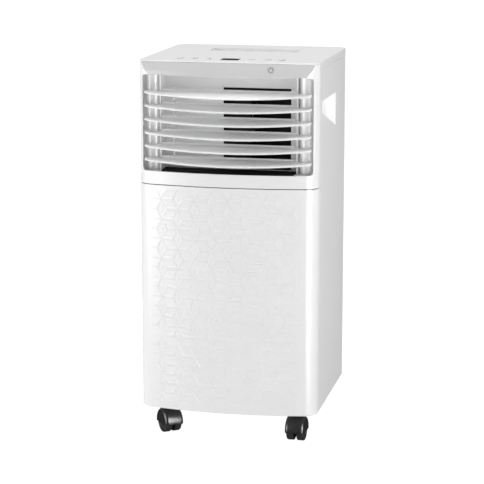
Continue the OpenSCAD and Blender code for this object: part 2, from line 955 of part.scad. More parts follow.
module hot_fan_housing() {
    t = 2;
    drum_r = hot_wheel_r + 11;
    y0 = hot_front_y;
    y1 = hot_front_y + hot_deep;
    exit_r = exhaust_bore_r - 2;
    color(shade)
        difference() {
            union() {
                rod_y(drum_r, hot_x, y0, y1, hot_z);
                block(hot_x, exhaust_x + exit_r + t, y0, y1, hot_z - drum_r, hot_z + drum_r + 10);
                rod_y(exit_r + t, exhaust_x, y1 - lap, rear_y - 19, exhaust_z);
            }
            rod_y(drum_r - t, hot_x, y0 + t, y1 - t, hot_z);
            block(hot_x, exhaust_x + exit_r, y0 + t, y1 - t, hot_z - drum_r + t, hot_z + drum_r + 10 - t);
            rod_y(exit_r, exhaust_x, y1 - t - 1, rear_y, exhaust_z);
            rod_y(shaft_r + 3, hot_x, y0 - 1, y0 + t + 1, hot_z);
            rod_y(hot_wheel_r - 14, hot_x, y1 - t - 1, y1 + 1, hot_z);
        }
}

module electrical_box() {
    t = 2;
    x0 = -150;
    x1 = -40;
    y0 = -118;
    y1 = -66;
    z0 = 330;
    z1 = 450;
    color(steel)
        difference() {
            block(x0, x1, y0, y1, z0, z1);
            block(x0 + t, x1 - t, y0 + t, y1 - t, z0 + t, z1 - t);
            rod_z(8, -95, -92, z0 - 1, z0 + t + 1);
        }
}

module run_capacitor() {
    color(steel)
        union() {
            rod_z(20, -10, -92, 340, 410);
            rod_z(3, -16, -92, 409, 418);
            rod_z(3, -4, -92, 409, 418);
            block(-38, -10, -95, -89, 350, 353);
        }
}

// ---- casters ----

axle_r = 2.5;
web_t = 5;
hood_r = 25;
hood_w = 37;

// turn of each caster about its stem, so that its axle and wheels lie as at rest
function caster_turn(front, right) = front ? (right ? 88 : 128) : (right ? 28 : 40);

module caster_place(front, right) {
    x = front ? caster_front_x : caster_rear_x;
    translate([right ? x : -x, front ? front_caster_y : rear_caster_y, 0])
        rotate([0, 0, caster_turn(front, right)])
            children();
}

// the axle lies along y and the wheels trail towards -x
module caster_fork() {
    plate_low = caster_wheel_r + hood_r - 3;
    plate_top = base_z - 1;
    color(dark)
        difference() {
            union() {
                rod_z(stem_r, 0, 0, plate_top - lap, stem_top - 1);
                rod_z(13, 0, 0, plate_low - 6, plate_top);
                intersection() {
                    rod_y(hood_r, -caster_trail, -hood_w / 2, hood_w / 2, caster_wheel_r);
                    block(-60, 60, -60, 60, caster_wheel_r - 3, 60);
                }
            }
            for (s = [-1, 1])
                rod_y(caster_wheel_r + 1, -caster_trail,
                    s > 0 ? web_t / 2 : -hood_w / 2 + 1.6, s > 0 ? hood_w / 2 - 1.6 : -web_t / 2,
                    caster_wheel_r);
            rod_y(axle_r + pin_play, -caster_trail, -hood_w / 2 + 1.6, hood_w / 2 - 1.6,
                caster_wheel_r);
        }
}

module caster_wheels() {
    color(dark)
        translate([-caster_trail, 0, 0]) {
            for (s = [-1, 1]) {
                inner = s > 0 ? web_t / 2 + 0.4 : -caster_wheels_w / 2;
                outer = s > 0 ? caster_wheels_w / 2 : -web_t / 2 - 0.4;
                rod_y(caster_wheel_r, 0, inner, outer, caster_wheel_r);
            }
            rod_y(axle_r, 0, -caster_wheels_w / 2 + 1, caster_wheels_w / 2 - 1, caster_wheel_r);
        }
}

base_tray();
front_panel();
outlet_bezel();
top_cover();
mirror([1, 0, 0]) side_panel();  // left_side_panel
side_panel();  // right_side_panel
rear_panel();
color(white) mirror([1, 0, 0]) handle_cup();  // left_handle_cup
color(white) handle_cup();  // right_handle_cup
air_duct();
louver(0);  // louver_1
louver(1);  // louver_2
louver(2);  // louver_3
louver(3);  // louver_4
louver(4);  // louver_5
louver(5);  // louver_6
louver_link();
display_window();
key(0);  // key_power
key(1);  // key_mode
key(2);  // key_speed
key(3);  // key_down
key(4);  // key_up
key(5);  // key_timer
control_board();
receiver_window();
filter_frame();
filter_mesh();
exhaust_collar();
drain_cap(upper_drain_z);  // upper_drain_cap
drain_cap(lower_drain_z);  // lower_drain_cap
drain_spouts();
cord_gland();
cord_hooks();
compressor();
compressor_feet();
refrigerant_pipes();
evaporator();
condenser();
drip_pan();
cool_fan_wheel();
cool_fan_motor();
cool_fan_housing();
hot_fan_wheel();
hot_fan_motor();
hot_fan_housing();
electrical_box();
run_capacitor();
cabinet_screws();
caster_place(true, false) caster_fork();  // caster_front_left
caster_place(true, true) caster_fork();  // caster_front_right
caster_place(false, false) caster_fork();  // caster_rear_left
caster_place(false, true) caster_fork();  // caster_rear_right
caster_place(true, false) caster_wheels();  // wheels_front_left
caster_place(true, true) caster_wheels();  // wheels_front_right
caster_place(false, false) caster_wheels();  // wheels_rear_left
caster_place(false, true) caster_wheels();  // wheels_rear_right
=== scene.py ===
import json
import math

import bmesh
import bpy
from mathutils import Matrix, Vector


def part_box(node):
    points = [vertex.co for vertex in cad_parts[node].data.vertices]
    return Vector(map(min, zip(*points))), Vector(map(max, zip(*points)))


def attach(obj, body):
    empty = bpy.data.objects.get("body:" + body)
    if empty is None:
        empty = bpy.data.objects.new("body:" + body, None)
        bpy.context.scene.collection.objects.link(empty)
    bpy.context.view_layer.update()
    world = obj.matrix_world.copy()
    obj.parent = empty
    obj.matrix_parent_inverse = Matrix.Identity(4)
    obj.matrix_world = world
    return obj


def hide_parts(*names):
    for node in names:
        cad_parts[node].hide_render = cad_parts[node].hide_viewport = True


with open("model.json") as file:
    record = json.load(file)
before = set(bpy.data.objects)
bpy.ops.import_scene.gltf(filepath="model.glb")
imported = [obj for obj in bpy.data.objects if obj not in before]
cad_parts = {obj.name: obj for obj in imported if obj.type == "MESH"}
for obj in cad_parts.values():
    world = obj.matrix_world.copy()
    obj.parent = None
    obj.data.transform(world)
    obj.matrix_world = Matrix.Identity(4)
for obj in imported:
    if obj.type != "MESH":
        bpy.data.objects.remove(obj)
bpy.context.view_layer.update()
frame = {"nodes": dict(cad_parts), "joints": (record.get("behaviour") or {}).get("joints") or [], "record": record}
scene = bpy.context.scene
MM = 0.001  # lengths below are in millimetres in the row frame

# ---- the cabinet's outline seen from above ----

HALF_W, FRONT, REAR = 166.0, -174.0, 162.0
TURN_X, TURN_Y, TURN_R = 138.0, -132.0, 28.0
BOW_DEPTH = TURN_Y - FRONT
BOW_R = (TURN_X**2 + BOW_DEPTH**2 - TURN_R**2) / (2 * (BOW_DEPTH - TURN_R))
BOW_A = math.asin(TURN_X / (BOW_R - TURN_R))
BOW_LEN = BOW_R * BOW_A
TURN_LEN = TURN_R * (math.pi / 2 - BOW_A)
SHELL_BACK = -126.0
SHELL_LEN = BOW_LEN + TURN_LEN + SHELL_BACK - TURN_Y
REAR_R = 22.0
WALL = 2.5
SEAM = 478.0
TOP = 703.0
OPEN_LOW, OPEN_TOP, OPEN_HALF = 502.0, 678.0, 157.5
BROW_LOW, BROW_TOP = FRONT + 14, FRONT + 25


def skin(u, inset=0.0):
    """A point on the outline, u round from the middle of the front, moved in by inset."""
    side, a = (-1 if u < 0 else 1), abs(u)
    if a <= BOW_LEN:
        t = a / BOW_R
        r, cx, cy = BOW_R - inset, 0.0, FRONT + BOW_R
    elif a <= BOW_LEN + TURN_LEN:
        t = BOW_A + (a - BOW_LEN) / TURN_R
        r, cx, cy = TURN_R - inset, TURN_X, TURN_Y
    else:
        return side * (HALF_W - inset), TURN_Y + a - BOW_LEN - TURN_LEN
    return side * (cx + r * math.sin(t)), cy - r * math.cos(t)


def front_steps():
    """Stations round the front half of the outline, close together on the corners."""
    bow = [BOW_LEN * i / 40 for i in range(41)]
    turn = [BOW_LEN + TURN_LEN * i / 16 for i in range(1, 17)]
    half = bow + turn
    return [-u for u in reversed(half[1:])] + half


def front_band(inset, thick, z0, z1, back=SHELL_BACK):
    """The curved front shell between two heights."""
    ends = [BOW_LEN + TURN_LEN + back - TURN_Y]
    steps = [-ends[0]] + front_steps() + ends
    outer = [skin(u, inset) for u in steps]
    inner = [skin(u, inset + thick) for u in reversed(steps)]
    return prism(outer + inner, z0, z1)


def plan(inset=0.0):
    """The whole outline."""
    points = [skin(u, inset) for u in front_steps()]
    c, r = HALF_W - REAR_R, REAR_R - inset
    turn = [math.pi / 2 * i / 12 for i in range(13)]
    points += [(c + r * math.cos(a), REAR - REAR_R + r * math.sin(a)) for a in turn]
    points += [(-c - r * math.sin(a), REAR - REAR_R + r * math.cos(a)) for a in turn]
    return points


# ---- solids ----


def solid(verts, faces):
    """A closed solid from points in millimetres, with its faces turned outwards."""
    mesh = bpy.data.meshes.new("solid")
    mesh.from_pydata([Vector(v) * MM for v in verts], [], faces)
    bm = bmesh.new()
    bm.from_mesh(mesh)
    bmesh.ops.recalc_face_normals(bm, faces=bm.faces)
    if bm.calc_volume(signed=True) < 0:
        bmesh.ops.reverse_faces(bm, faces=bm.faces)
    bm.to_mesh(mesh)
    bm.free()
    obj = bpy.data.objects.new("solid", mesh)
    scene.collection.objects.link(obj)
    return obj


def along(axis, a, b, t):
    """A point at t along an axis, with its other two coordinates in x, y, z order."""
    return {"x": (t, a, b), "y": (a, t, b), "z": (a, b, t)}[axis]


def prism(outline, lo, hi, axis="z"):
    """A straight solid over an outline, between two places on an axis."""
    n = len(outline)
    verts = [along(axis, a, b, lo) for a, b in outline] + [along(axis, a, b, hi) for a, b in outline]
    faces = [list(range(n))[::-1], list(range(n, 2 * n))]
    faces += [[i, (i + 1) % n, n + (i + 1) % n, n + i] for i in range(n)]
    return solid(verts, faces)


def block(x0, x1, y0, y1, z0, z1):
    return prism([(x0, y0), (x1, y0), (x1, y1), (x0, y1)], z0, z1)


def span(s, a, b):
    """The stretch from a to b on one side (s is -1 or 1) of the middle, low end first."""
    return sorted((s * a, s * b))


def arc(cx, cy, r, a0, a1, n):
    steps = [math.radians(a0 + (a1 - a0) * i / n) for i in range(n + 1)]
    return [(cx + r * math.cos(a), cy + r * math.sin(a)) for a in steps]


def rounded(x0, x1, y0, y1, r, n=8):
    """A rectangle with round corners."""
    return (
        arc(x1 - r, y0 + r, r, -90, 0, n)
        + arc(x1 - r, y1 - r, r, 0, 90, n)
        + arc(x0 + r, y1 - r, r, 90, 180, n)
        + arc(x0 + r, y0 + r, r, 180, 270, n)
    )


def rod(axis, a, b, r, lo, hi, n=64):
    return prism(arc(a, b, r, 0, 360, n)[:-1], lo, hi, axis)


def lathe(profile, n=96):
    """A solid turned about the y axis from a closed loop of (radius, y)."""
    ring, verts, faces = [], [], []
    for r, y in profile:
        if r < 1e-6:
            ring.append([len(verts)])
            verts.append((0, y, 0))
        else:
            ring.append(list(range(len(verts), len(verts) + n)))
            turns = [2 * math.pi * i / n for i in range(n)]
            verts += [(r * math.cos(a), y, r * math.sin(a)) for a in turns]
    for a, b in zip(ring, ring[1:] + ring[:1]):
        for i in range(n):
            quad = [a[i % len(a)], a[(i + 1) % len(a)], b[(i + 1) % len(b)], b[i % len(b)]]
            face = [v for k, v in enumerate(quad) if v not in quad[:k]]
            if len(face) > 2:
                faces.append(face)
    return solid(verts, faces)


def placed(obj, matrix):
    """Moves a solid's own points, with the matrix's shift in millimetres."""
    matrix = matrix.copy()
    matrix.translation *= MM
    obj.data.transform(matrix)
    return obj


def shifted(obj, x, y, z):
    return placed(obj, Matrix.Translation((x, y, z)))


def settle(obj):
    """Makes an object's modifiers part of its mesh."""
    bpy.context.view_layer.update()
    graph = bpy.context.evaluated_depsgraph_get()
    mesh = bpy.data.meshes.new_from_object(obj.evaluated_get(graph))
    obj.modifiers.clear()
    obj.data = mesh
    return obj


def carved(base, cuts=(), adds=()):
    """A solid with others added and then others cut out."""
    for operation, tools in (("UNION", adds), ("DIFFERENCE", cuts)):
        for tool in tools:
            m = base.modifiers.new("carve", "BOOLEAN")
            m.object, m.operation, m.solver = tool, operation, "MANIFOLD"
    settle(base)
    for tool in (*cuts, *adds):
        bpy.data.objects.remove(tool)
    return base


def meet(base, tool):
    """What two solids share."""
    m = base.modifiers.new("meet", "BOOLEAN")
    m.object, m.operation, m.solver = tool, "INTERSECT", "MANIFOLD"
    settle(base)
    bpy.data.objects.remove(tool)
    return base


def together(solids):
    """Several solids that don't touch, as one object."""
    first, rest = solids[0], solids[1:]
    bm = bmesh.new()
    for s in solids:
        bm.from_mesh(s.data)
    bm.to_mesh(first.data)
    bm.free()
    for s in rest:
        bpy.data.objects.remove(s)
    return first


def tidy(obj, merge=True):
    """Joins points that coincide and, if merge is set, flat neighbouring faces."""
    bm = bmesh.new()
    bm.from_mesh(obj.data)
    bmesh.ops.remove_doubles(bm, verts=bm.verts, dist=0.004 * MM)
    bmesh.ops.dissolve_degenerate(bm, edges=bm.edges, dist=0.004 * MM)
    if merge:
        bmesh.ops.dissolve_limit(bm, angle_limit=math.radians(0.2), verts=bm.verts, edges=bm.edges)
    bm.to_mesh(obj.data)
    bm.free()
    return obj


def softened(obj, width, segments=2, angle=32):
    """Rounds the edges sharper than an angle."""
    m = obj.modifiers.new("round_edges", "BEVEL")
    m.width, m.segments, m.angle_limit = width * MM, segments, math.radians(angle)
    m.limit_method, m.use_clamp_overlap, m.miter_outer = "ANGLE", True, "MITER_ARC"
    obj.modifiers.new("even_normals", "WEIGHTED_NORMAL").keep_sharp = True
    return obj


def shade(obj, angle=32):
    """Smooth shading with its sharp edges kept."""
    for p in obj.data.polygons:
        p.use_smooth = True
    obj.data.set_sharp_from_angle(angle=math.radians(angle))
    return obj


def piece(obj, name, look, body="cabinet", replaces=(), round_edges=0.0, segments=2, merge=True):
    """Names a finished solid, gives it its look and hands it to its body."""
    obj.name = obj.data.name = name
    tidy(obj, merge)
    if round_edges:
        softened(obj, round_edges, segments)
    shade(obj)
    obj.data.materials.clear()
    obj.data.materials.append(looks[look])
    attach(obj, body)
    SLOTS.get(look, look)
    if replaces:
        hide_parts(*replaces)
    return obj


# ---- materials ----


def surface(name, color, rough, rough_spread=0.06, tint=0.02, grain=0.7, grain_depth=0.008,
            wave=35.0, wave_depth=0.008, stretch=(1, 1, 1), metallic=0.0, coat=0.0, specular=0.5):
    """A moulded or metal surface: fine grain, slow waves, uneven gloss and a faint change of tone."""
    mat = bpy.data.materials.new(name)
    mat.use_nodes = True
    nodes, links = mat.node_tree.nodes, mat.node_tree.links
    shader = nodes["Principled BSDF"]
    shader.inputs["Metallic"].default_value = metallic
    shader.inputs["Coat Weight"].default_value = coat
    shader.inputs["Coat Roughness"].default_value = 0.12
    shader.inputs["Specular IOR Level"].default_value = specular
    coords = nodes.new("ShaderNodeTexCoord")
    mapping = nodes.new("ShaderNodeMapping")
    mapping.inputs["Scale"].default_value = stretch
    links.new(coords.outputs["Object"], mapping.inputs["Vector"])

    def noise(size, detail):
        n = nodes.new("ShaderNodeTexNoise")
        n.inputs["Scale"].default_value = 1 / (size * MM)
        n.inputs["Detail"].default_value = detail
        links.new(mapping.outputs["Vector"], n.inputs["Vector"])
        return n.outputs["Fac"]

    tone = nodes.new("ShaderNodeValToRGB")
    tone.color_ramp.elements[0].position = 0.3
    tone.color_ramp.elements[1].position = 0.7
    tone.color_ramp.elements[0].color = (*[c * (1 - tint) for c in color], 1)
    tone.color_ramp.elements[1].color = (*[min(1, c * (1 + tint)) for c in color], 1)
    links.new(noise(70, 3), tone.inputs["Fac"])
    links.new(tone.outputs["Color"], shader.inputs["Base Color"])
    gloss = nodes.new("ShaderNodeMapRange")
    gloss.inputs["To Min"].default_value = rough - rough_spread
    gloss.inputs["To Max"].default_value = rough + rough_spread
    links.new(noise(9, 4), gloss.inputs["Value"])
    links.new(gloss.outputs["Result"], shader.inputs["Roughness"])
    normal = None
    for size, depth, detail in ((wave, wave_depth, 1), (grain, grain_depth, 3)):
        bump = nodes.new("ShaderNodeBump")
        bump.inputs["Distance"].default_value = depth * MM
        links.new(noise(size, detail), bump.inputs["Height"])
        if normal:
            links.new(normal, bump.inputs["Normal"])
        normal = bump.outputs["Normal"]
    links.new(normal, shader.inputs["Normal"])
    return mat


def woven(name, color, pitch):
    """A fine net: crossed threads in the given colour, with the holes between them coloured dark as painted shade.
    """
    mat = surface(name, color, 0.6, grain=0.3, grain_depth=0.02)
    nodes, links = mat.node_tree.nodes, mat.node_tree.links
    shader = nodes["Principled BSDF"]
    coords = nodes["Texture Coordinate"]
    bands = []
    for direction in ("X", "Z"):
        wave = nodes.new("ShaderNodeTexWave")
        wave.bands_direction = direction
        wave.inputs["Scale"].default_value = 0.05 / (pitch * MM) * 2 * math.pi
        links.new(coords.outputs["Object"], wave.inputs["Vector"])
        bands.append(wave.outputs["Fac"])
    threads = nodes.new("ShaderNodeMath")
    threads.operation = "MAXIMUM"
    links.new(bands[0], threads.inputs[0])
    links.new(bands[1], threads.inputs[1])
    # the dark between the threads is painted shade, standing for the holes
    tone = nodes.new("ShaderNodeValToRGB")
    tone.color_ramp.elements[0].color = (*[c * 0.15 for c in color], 1)
    tone.color_ramp.elements[1].color = (*color, 1)
    links.new(threads.outputs["Value"], tone.inputs["Fac"])
    links.new(tone.outputs["Color"], shader.inputs["Base Color"])
    bump = nodes.new("ShaderNodeBump")
    bump.inputs["Distance"].default_value = 0.3 * MM
    links.new(threads.outputs["Value"], bump.inputs["Height"])
    links.new(bump.outputs["Normal"], shader.inputs["Normal"])
    return mat


looks = {
    "white": surface("white_plastic", (0.83, 0.83, 0.835), 0.33, rough_spread=0.02, tint=0.01,
                     grain_depth=0.003, wave_depth=0.002, specular=0.45),
    # the forehead's grey is painted shade: the same white plastic, coloured darker because its slant catches less
    # light
    "brow": surface("brow_painted_shade", (0.57, 0.57, 0.575), 0.42, tint=0.012),
    # the grip pockets' whiter tone is painted light: the same white plastic, coloured brighter to stand for the
    # light falling into the pockets
    "painted_light_white": surface("pocket_painted_light", (0.97, 0.97, 0.97), 0.4, tint=0.01),
    "duct": surface("duct_plastic", (0.80, 0.80, 0.805), 0.5, tint=0.012),
    "grey": surface("grey_plastic", (0.62, 0.63, 0.64), 0.5, grain=0.9, grain_depth=0.03),
    "black": surface("black_plastic", (0.012, 0.012, 0.013), 0.36, grain=0.8, grain_depth=0.03),
    "tyre": surface("black_tread", (0.016, 0.016, 0.017), 0.55, grain=1.1, grain_depth=0.06),
    "rubber": surface("rubber", (0.02, 0.02, 0.02), 0.7, grain=0.9, grain_depth=0.06, specular=0.3),
    # a black look for sheets that stand for shade: painted shade, not a real part's colour
    "shade_sheet": surface("black_shade_sheet", (0.008, 0.008, 0.008), 0.9, grain=1.4, grain_depth=0.15, specular=0.1),
    "display": surface("display_glass", (0.006, 0.006, 0.007), 0.4, rough_spread=0.04, specular=0.08),
    "print": surface("grey_print", (0.015, 0.015, 0.017), 0.6, specular=0.1),
    "board": surface("circuit_board", (0.03, 0.16, 0.07), 0.4, wave=12, wave_depth=0.1, coat=0.3),
    "mesh": woven("filter_net", (0.16, 0.17, 0.18), 1.4),
    "black_steel": surface("black_paint", (0.02, 0.02, 0.021), 0.42, wave=14, wave_depth=0.12),
    "copper": surface("copper_tube", (0.72, 0.38, 0.24), 0.3, metallic=1.0, tint=0.12, wave=18),
    "aluminium": surface("rolled_fins", (0.75, 0.76, 0.77), 0.38, metallic=1.0, stretch=(1, 1, 12)),
    "steel": surface("zinc_steel", (0.62, 0.63, 0.65), 0.34, metallic=1.0, tint=0.06, stretch=(8, 1, 1)),
}
# Looks that aren't material slots of their own, with the slot that each one belongs to.
SLOTS = {
    "duct": "white",
    "brow": "white",
    "painted_light_white": "white",
    "shade_sheet": "black",
    "tyre": "black",
    "print": "grey",
}

# The nodes that aren't replaced below keep their shape and take the look of their own slot.
for part in frame["record"]["subparts"]:
    node = frame["nodes"].get(part["node"])
    if node:
        node.data.materials.clear()
        node.data.materials.append(looks[part["material_slot"]])
frame["nodes"]["air_duct"].data.materials[0] = looks["duct"]
# the fan case and its wheel are coloured black as painted shade: what shows of them through the slots is dark
for node in ("cool_fan_housing", "cool_fan_wheel"):
    frame["nodes"][node].data.materials[0] = looks["black"]

# ---- front panel with its lattice of rhombi ----

PITCH = 36.5  # between two stars of the lattice, up the panel
COLUMN = PITCH * math.sqrt(3) / 2
EDGE = PITCH / math.sqrt(3)
STAR_X, STAR_Z = 5.5, 451.7
GROOVE_HALF, GROOVE_DEEP = 0.55, 0.55
PANEL_LOW, PANEL_TOP = 56.0, SEAM - 0.8
FIELD = (-140.0, 140.0, 61.0, STAR_Z + PITCH / 2)
DIAMOND_DEEP, HATCH_DEEP = 0.20, 0.12
HATCH_HALF = 0.022  # half a line's width, as a share of its rhombus
NEAR = 0.02  # points closer than this are one point
LIP = 0.6  # the small chamfer round the panel's edge


def clipped(poly, keep):
    """The part of a polygon where keep(point) is not negative."""
    out = []
    for p, q in zip(poly, poly[1:] + poly[:1]):
        a, b = keep(p), keep(q)
        if a >= 0:
            out.append(p)
        if (a < 0) != (b < 0):
            t = a / (a - b)
            out.append((p[0] + (q[0] - p[0]) * t, p[1] + (q[1] - p[1]) * t))
    clean = []
    for p in out:
        if not clean or math.dist(p, clean[-1]) > NEAR:
            clean.append(p)
    if len(clean) > 1 and math.dist(clean[0], clean[-1]) < NEAR:
        clean.pop()
    return clean


def rhombi():
    u0, u1, z0, z1 = FIELD
    for c in range(-6, 7):
        for n in range(-2, 14):
            u, z = STAR_X + c * COLUMN, STAR_Z - PITCH * (n + (0.5 if c % 2 else 0))
            for lean in (90, 30, -30):
                a = math.radians(lean)
                du, dz = math.cos(a), math.sin(a)
                m = (u + PITCH / 2 * du, z + PITCH / 2 * dz)
                poly = [
                    (u, z),
                    (m[0] + EDGE / 2 * dz, m[1] - EDGE / 2 * du),
                    (u + PITCH * du, z + PITCH * dz),
                    (m[0] - EDGE / 2 * dz, m[1] + EDGE / 2 * du),
                ]
                whole = all(u0 <= p[0] <= u1 and z0 <= p[1] <= z1 for p in poly)
                for keep in (
                    lambda p: p[0] - u0,
                    lambda p: u1 - p[0],
                    lambda p: p[1] - z0,
                    lambda p: z1 - p[1],
                ):
                    poly = clipped(poly, keep) if len(poly) > 2 else []
                area = sum(p[0] * q[1] - q[0] * p[1] for p, q in zip(poly, poly[1:] + poly[:1])) / 2
                if len(poly) > 2 and area > 0.5:
                    yield lean, whole, poly


def side_of(p, q):
    """Which side of the field an edge lies on, or None."""
    for i, k in ((0, 0), (1, 0), (2, 1), (3, 1)):
        if abs(p[k] - FIELD[i]) < NEAR and abs(q[k] - FIELD[i]) < NEAR:
            return i
    return None


def inner_corner(p, q, r, before, after):
    """Where the lines p-q and q-r meet once moved in by before and after."""
    d1, d2 = (q[0] - p[0], q[1] - p[1]), (r[0] - q[0], r[1] - q[1])
    l1, l2 = math.hypot(*d1), math.hypot(*d2)
    n1, n2 = (-d1[1] / l1, d1[0] / l1), (-d2[1] / l2, d2[0] / l2)
    c1 = n1[0] * q[0] + n1[1] * q[1] + before
    c2 = n2[0] * q[0] + n2[1] * q[1] + after
    det = n1[0] * n2[1] - n1[1] * n2[0]
    return (c1 * n2[1] - c2 * n1[1]) / det, (n1[0] * c2 - n2[0] * c1) / det


class Sheet:
    """A curved sheet of faces on the front, given by points (u, z, depth)."""

    def __init__(self):
        self.index, self.points, self.faces = {}, [], []

    def at(self, u, z, deep):
        key = (round(u, 2), round(z, 2), round(deep, 2))
        if key not in self.index:
            self.index[key] = len(self.points)
            self.points.append((u, z, deep))
        return self.index[key]

    def face(self, *points):
        ids = [self.at(*p) for p in points]
        ids = [v for k, v in enumerate(ids) if v not in ids[:k]]
        if len(ids) > 2:
            self.faces.append(ids)

    def thickened(self, thick):
        """The sheet as a closed solid, with a plain back."""
        count, used = len(self.points), {}
        for f in self.faces:
            for a, b in zip(f, f[1:] + f[:1]):
                used[(a, b)] = used.get((a, b), 0) + 1
        faces = list(self.faces) + [[v + count for v in reversed(f)] for f in self.faces]
        for a, b in used:
            if (b, a) not in used:
                faces.append([b, a, a + count, b + count])
        verts = []
        for back in (False, True):
            for u, z, deep in self.points:
                x, y = skin(u, thick if back else deep)
                verts.append((x, y, z))
        return solid(verts, faces)


def lines_between(deep, half):
    """Stations from 0 to 1 along an edge, with a shallow groove at each given share."""
    stations = [(0.0, 0.0)]
    for t in (0.25, 0.5, 0.75):
        stations += [(t - half, 0.0), (t, deep), (t + half, 0.0)]
    return stations + [(1.0, 0.0)]


def spaced(p, q, stations):
    """Points (u, z, depth) along the line from p to q."""
    return [(p[0] + (q[0] - p[0]) * t, p[1] + (q[1] - p[1]) * t, deep) for t, deep in stations]


def lattice_panel():
    sheet, chains, dips = Sheet(), {k: set() for k in range(4)}, []
    for lean, whole, poly in rhombi():
        n = len(poly)
        sides = [side_of(poly[i], poly[(i + 1) % n]) for i in range(n)]
        inset = [0.0 if s is not None else GROOVE_HALF for s in sides]
        inner = [
            inner_corner(poly[i - 1], poly[i], poly[(i + 1) % n], inset[i - 1], inset[i]) for i in range(n)
        ]
        borders = [[] for _ in range(n)]  # raised stations along each inner edge, its ends left out
        if whole and lean == 90:
            rings = [(0.66, 0.0), (0.62, DIAMOND_DEEP), (0.58, 0.0)]
            rings += [(0.30, 0.0), (0.26, DIAMOND_DEEP), (0.22, 0.0)]
            centre = [sum(p[k] for p in inner) / 4 for k in (0, 1)]
            outer = [(*p, 0.0) for p in inner]
            for share, deep in rings:
                nxt = [(*[centre[k] + (p[k] - centre[k]) * share for k in (0, 1)], deep) for p in inner]
                for i in range(4):
                    sheet.face(outer[i], outer[(i + 1) % 4], nxt[(i + 1) % 4], nxt[i])
                outer = nxt
            sheet.face(*outer)
        elif whole:
            level = [i for i in range(4) if abs(inner[i][1] - inner[(i + 1) % 4][1]) < 0.01]
            a, b = level  # the two level edges; the slanting edges carry the ends of the lines
            start, stop = inner[(a + 1) % 4], inner[b]
            other, far = inner[a], inner[(b + 1) % 4]
            stations = lines_between(HATCH_DEEP, HATCH_HALF)
            right = spaced(start, stop, stations)
            left = spaced(other, far, stations)
            for i in range(len(stations) - 1):
                sheet.face(left[i], right[i], right[i + 1], left[i + 1])
            borders[(a + 1) % 4] = right[1:-1]
            borders[(b + 1) % 4] = left[1:-1][::-1]
        else:
            sheet.face(*[(*p, 0.0) for p in inner])
        for i in range(n):
            j = (i + 1) % n
            if sides[i] is None:
                run = [(*inner[i], 0.0)] + borders[i] + [(*inner[j], 0.0)]
                sheet.face((*poly[i], GROOVE_DEEP), (*poly[j], GROOVE_DEEP), *reversed(run))
                for p in (poly[i], poly[j]):
                    edge = side_of(p, p)
                    if edge is not None:
                        dips.append((edge, p))
            else:
                chains[sides[i]] |= {(round(p[0], 2), round(p[1], 2)) for p in (inner[i], inner[j])}
    u0, u1, z0, z1 = FIELD
    level = {k: sorted(p[0] for p in chains[k]) for k in (2, 3)}
    rising = {k: sorted(p[1] for p in chains[k]) for k in (0, 1)}
    seen = set()
    for edge, p in dips:
        key = (edge, round(p[0], 1), round(p[1], 1))
        if key in seen:
            continue
        seen.add(key)
        run, t = (rising[edge], p[1]) if edge < 2 else (level[edge], p[0])
        low, high = max(v for v in run if v < t + 1e-6), min(v for v in run if v > t - 1e-6)
        ends = [(FIELD[edge], v, 0.0) if edge < 2 else (v, FIELD[edge], 0.0) for v in (low, high)]
        middle = (*p, GROOVE_DEEP)
        order = (ends[0], middle, ends[1]) if edge in (1, 2) else (ends[1], middle, ends[0])
        sheet.face(*order)
    turn = [u1] + [u for u in front_steps() if u > u1 + LIP] + [SHELL_LEN - LIP]
    rows = {
        2: [(PANEL_LOW, LIP), (PANEL_LOW + LIP, 0.0), (z0, 0.0)],
        3: [(z1, 0.0), (PANEL_TOP - LIP, 0.0), (PANEL_TOP, LIP)],
    }
    for k, strip in rows.items():
        across = [-u for u in reversed(turn[1:])] + level[k] + turn[1:]
        across = [(-SHELL_LEN, LIP)] + [(u, 0.0) for u in across] + [(SHELL_LEN, LIP)]
        for (za, da), (zb, db) in zip(strip, strip[1:]):
            for (ua, ea), (ub, eb) in zip(across, across[1:]):
                sheet.face(
                    (ua, za, max(da, ea)), (ub, za, max(da, eb)), (ub, zb, max(db, eb)), (ua, zb, max(db, ea))
                )
    for k, sign in ((1, 1), (0, -1)):
        across = [(u, 0.0) for u in turn] + [(SHELL_LEN, LIP)]
        for (ua, ea), (ub, eb) in zip(across, across[1:]):
            for za, zb in zip(rising[k], rising[k][1:]):
                quad = [(sign * ua, za, ea), (sign * ub, za, eb), (sign * ub, zb, eb), (sign * ua, zb, ea)]
                sheet.face(*(quad if sign > 0 else quad[::-1]))
    return sheet.thickened(WALL)


piece(lattice_panel(), "front_panel_lattice", "white", replaces=["front_panel"])

# ---- outlet bezel ----


def brow_wedge(back):
    """Everything in front of the slanted forehead, moved back."""
    lean, over = (BROW_TOP - BROW_LOW) / (TOP - OPEN_TOP), 12
    return prism(
        [
            (FRONT - over, OPEN_TOP),
            (BROW_LOW + back, OPEN_TOP),
            (BROW_TOP + back + lean * over, TOP + over),
            (FRONT - over, TOP + over),
        ],
        -HALF_W - over,
        HALF_W + over,
        "x",
    )


BROW_LEAN = math.degrees(math.atan2(BROW_TOP - BROW_LOW, TOP - OPEN_TOP))
WINDOW_X, WINDOW_Z, WINDOW_R = 80.0, 690.0, 6.5


def on_brow(obj):
    """Puts a solid made about +Y, with its face at y 0, on the forehead at the receiver's place."""
    share = (WINDOW_Z - OPEN_TOP) / (TOP - OPEN_TOP)
    y = BROW_LOW + share * (BROW_TOP - BROW_LOW)
    return placed(
        obj,
        Matrix.Translation((WINDOW_X, y, WINDOW_Z)) @ Matrix.Rotation(math.radians(-BROW_LEAN), 4, "X"),
    )


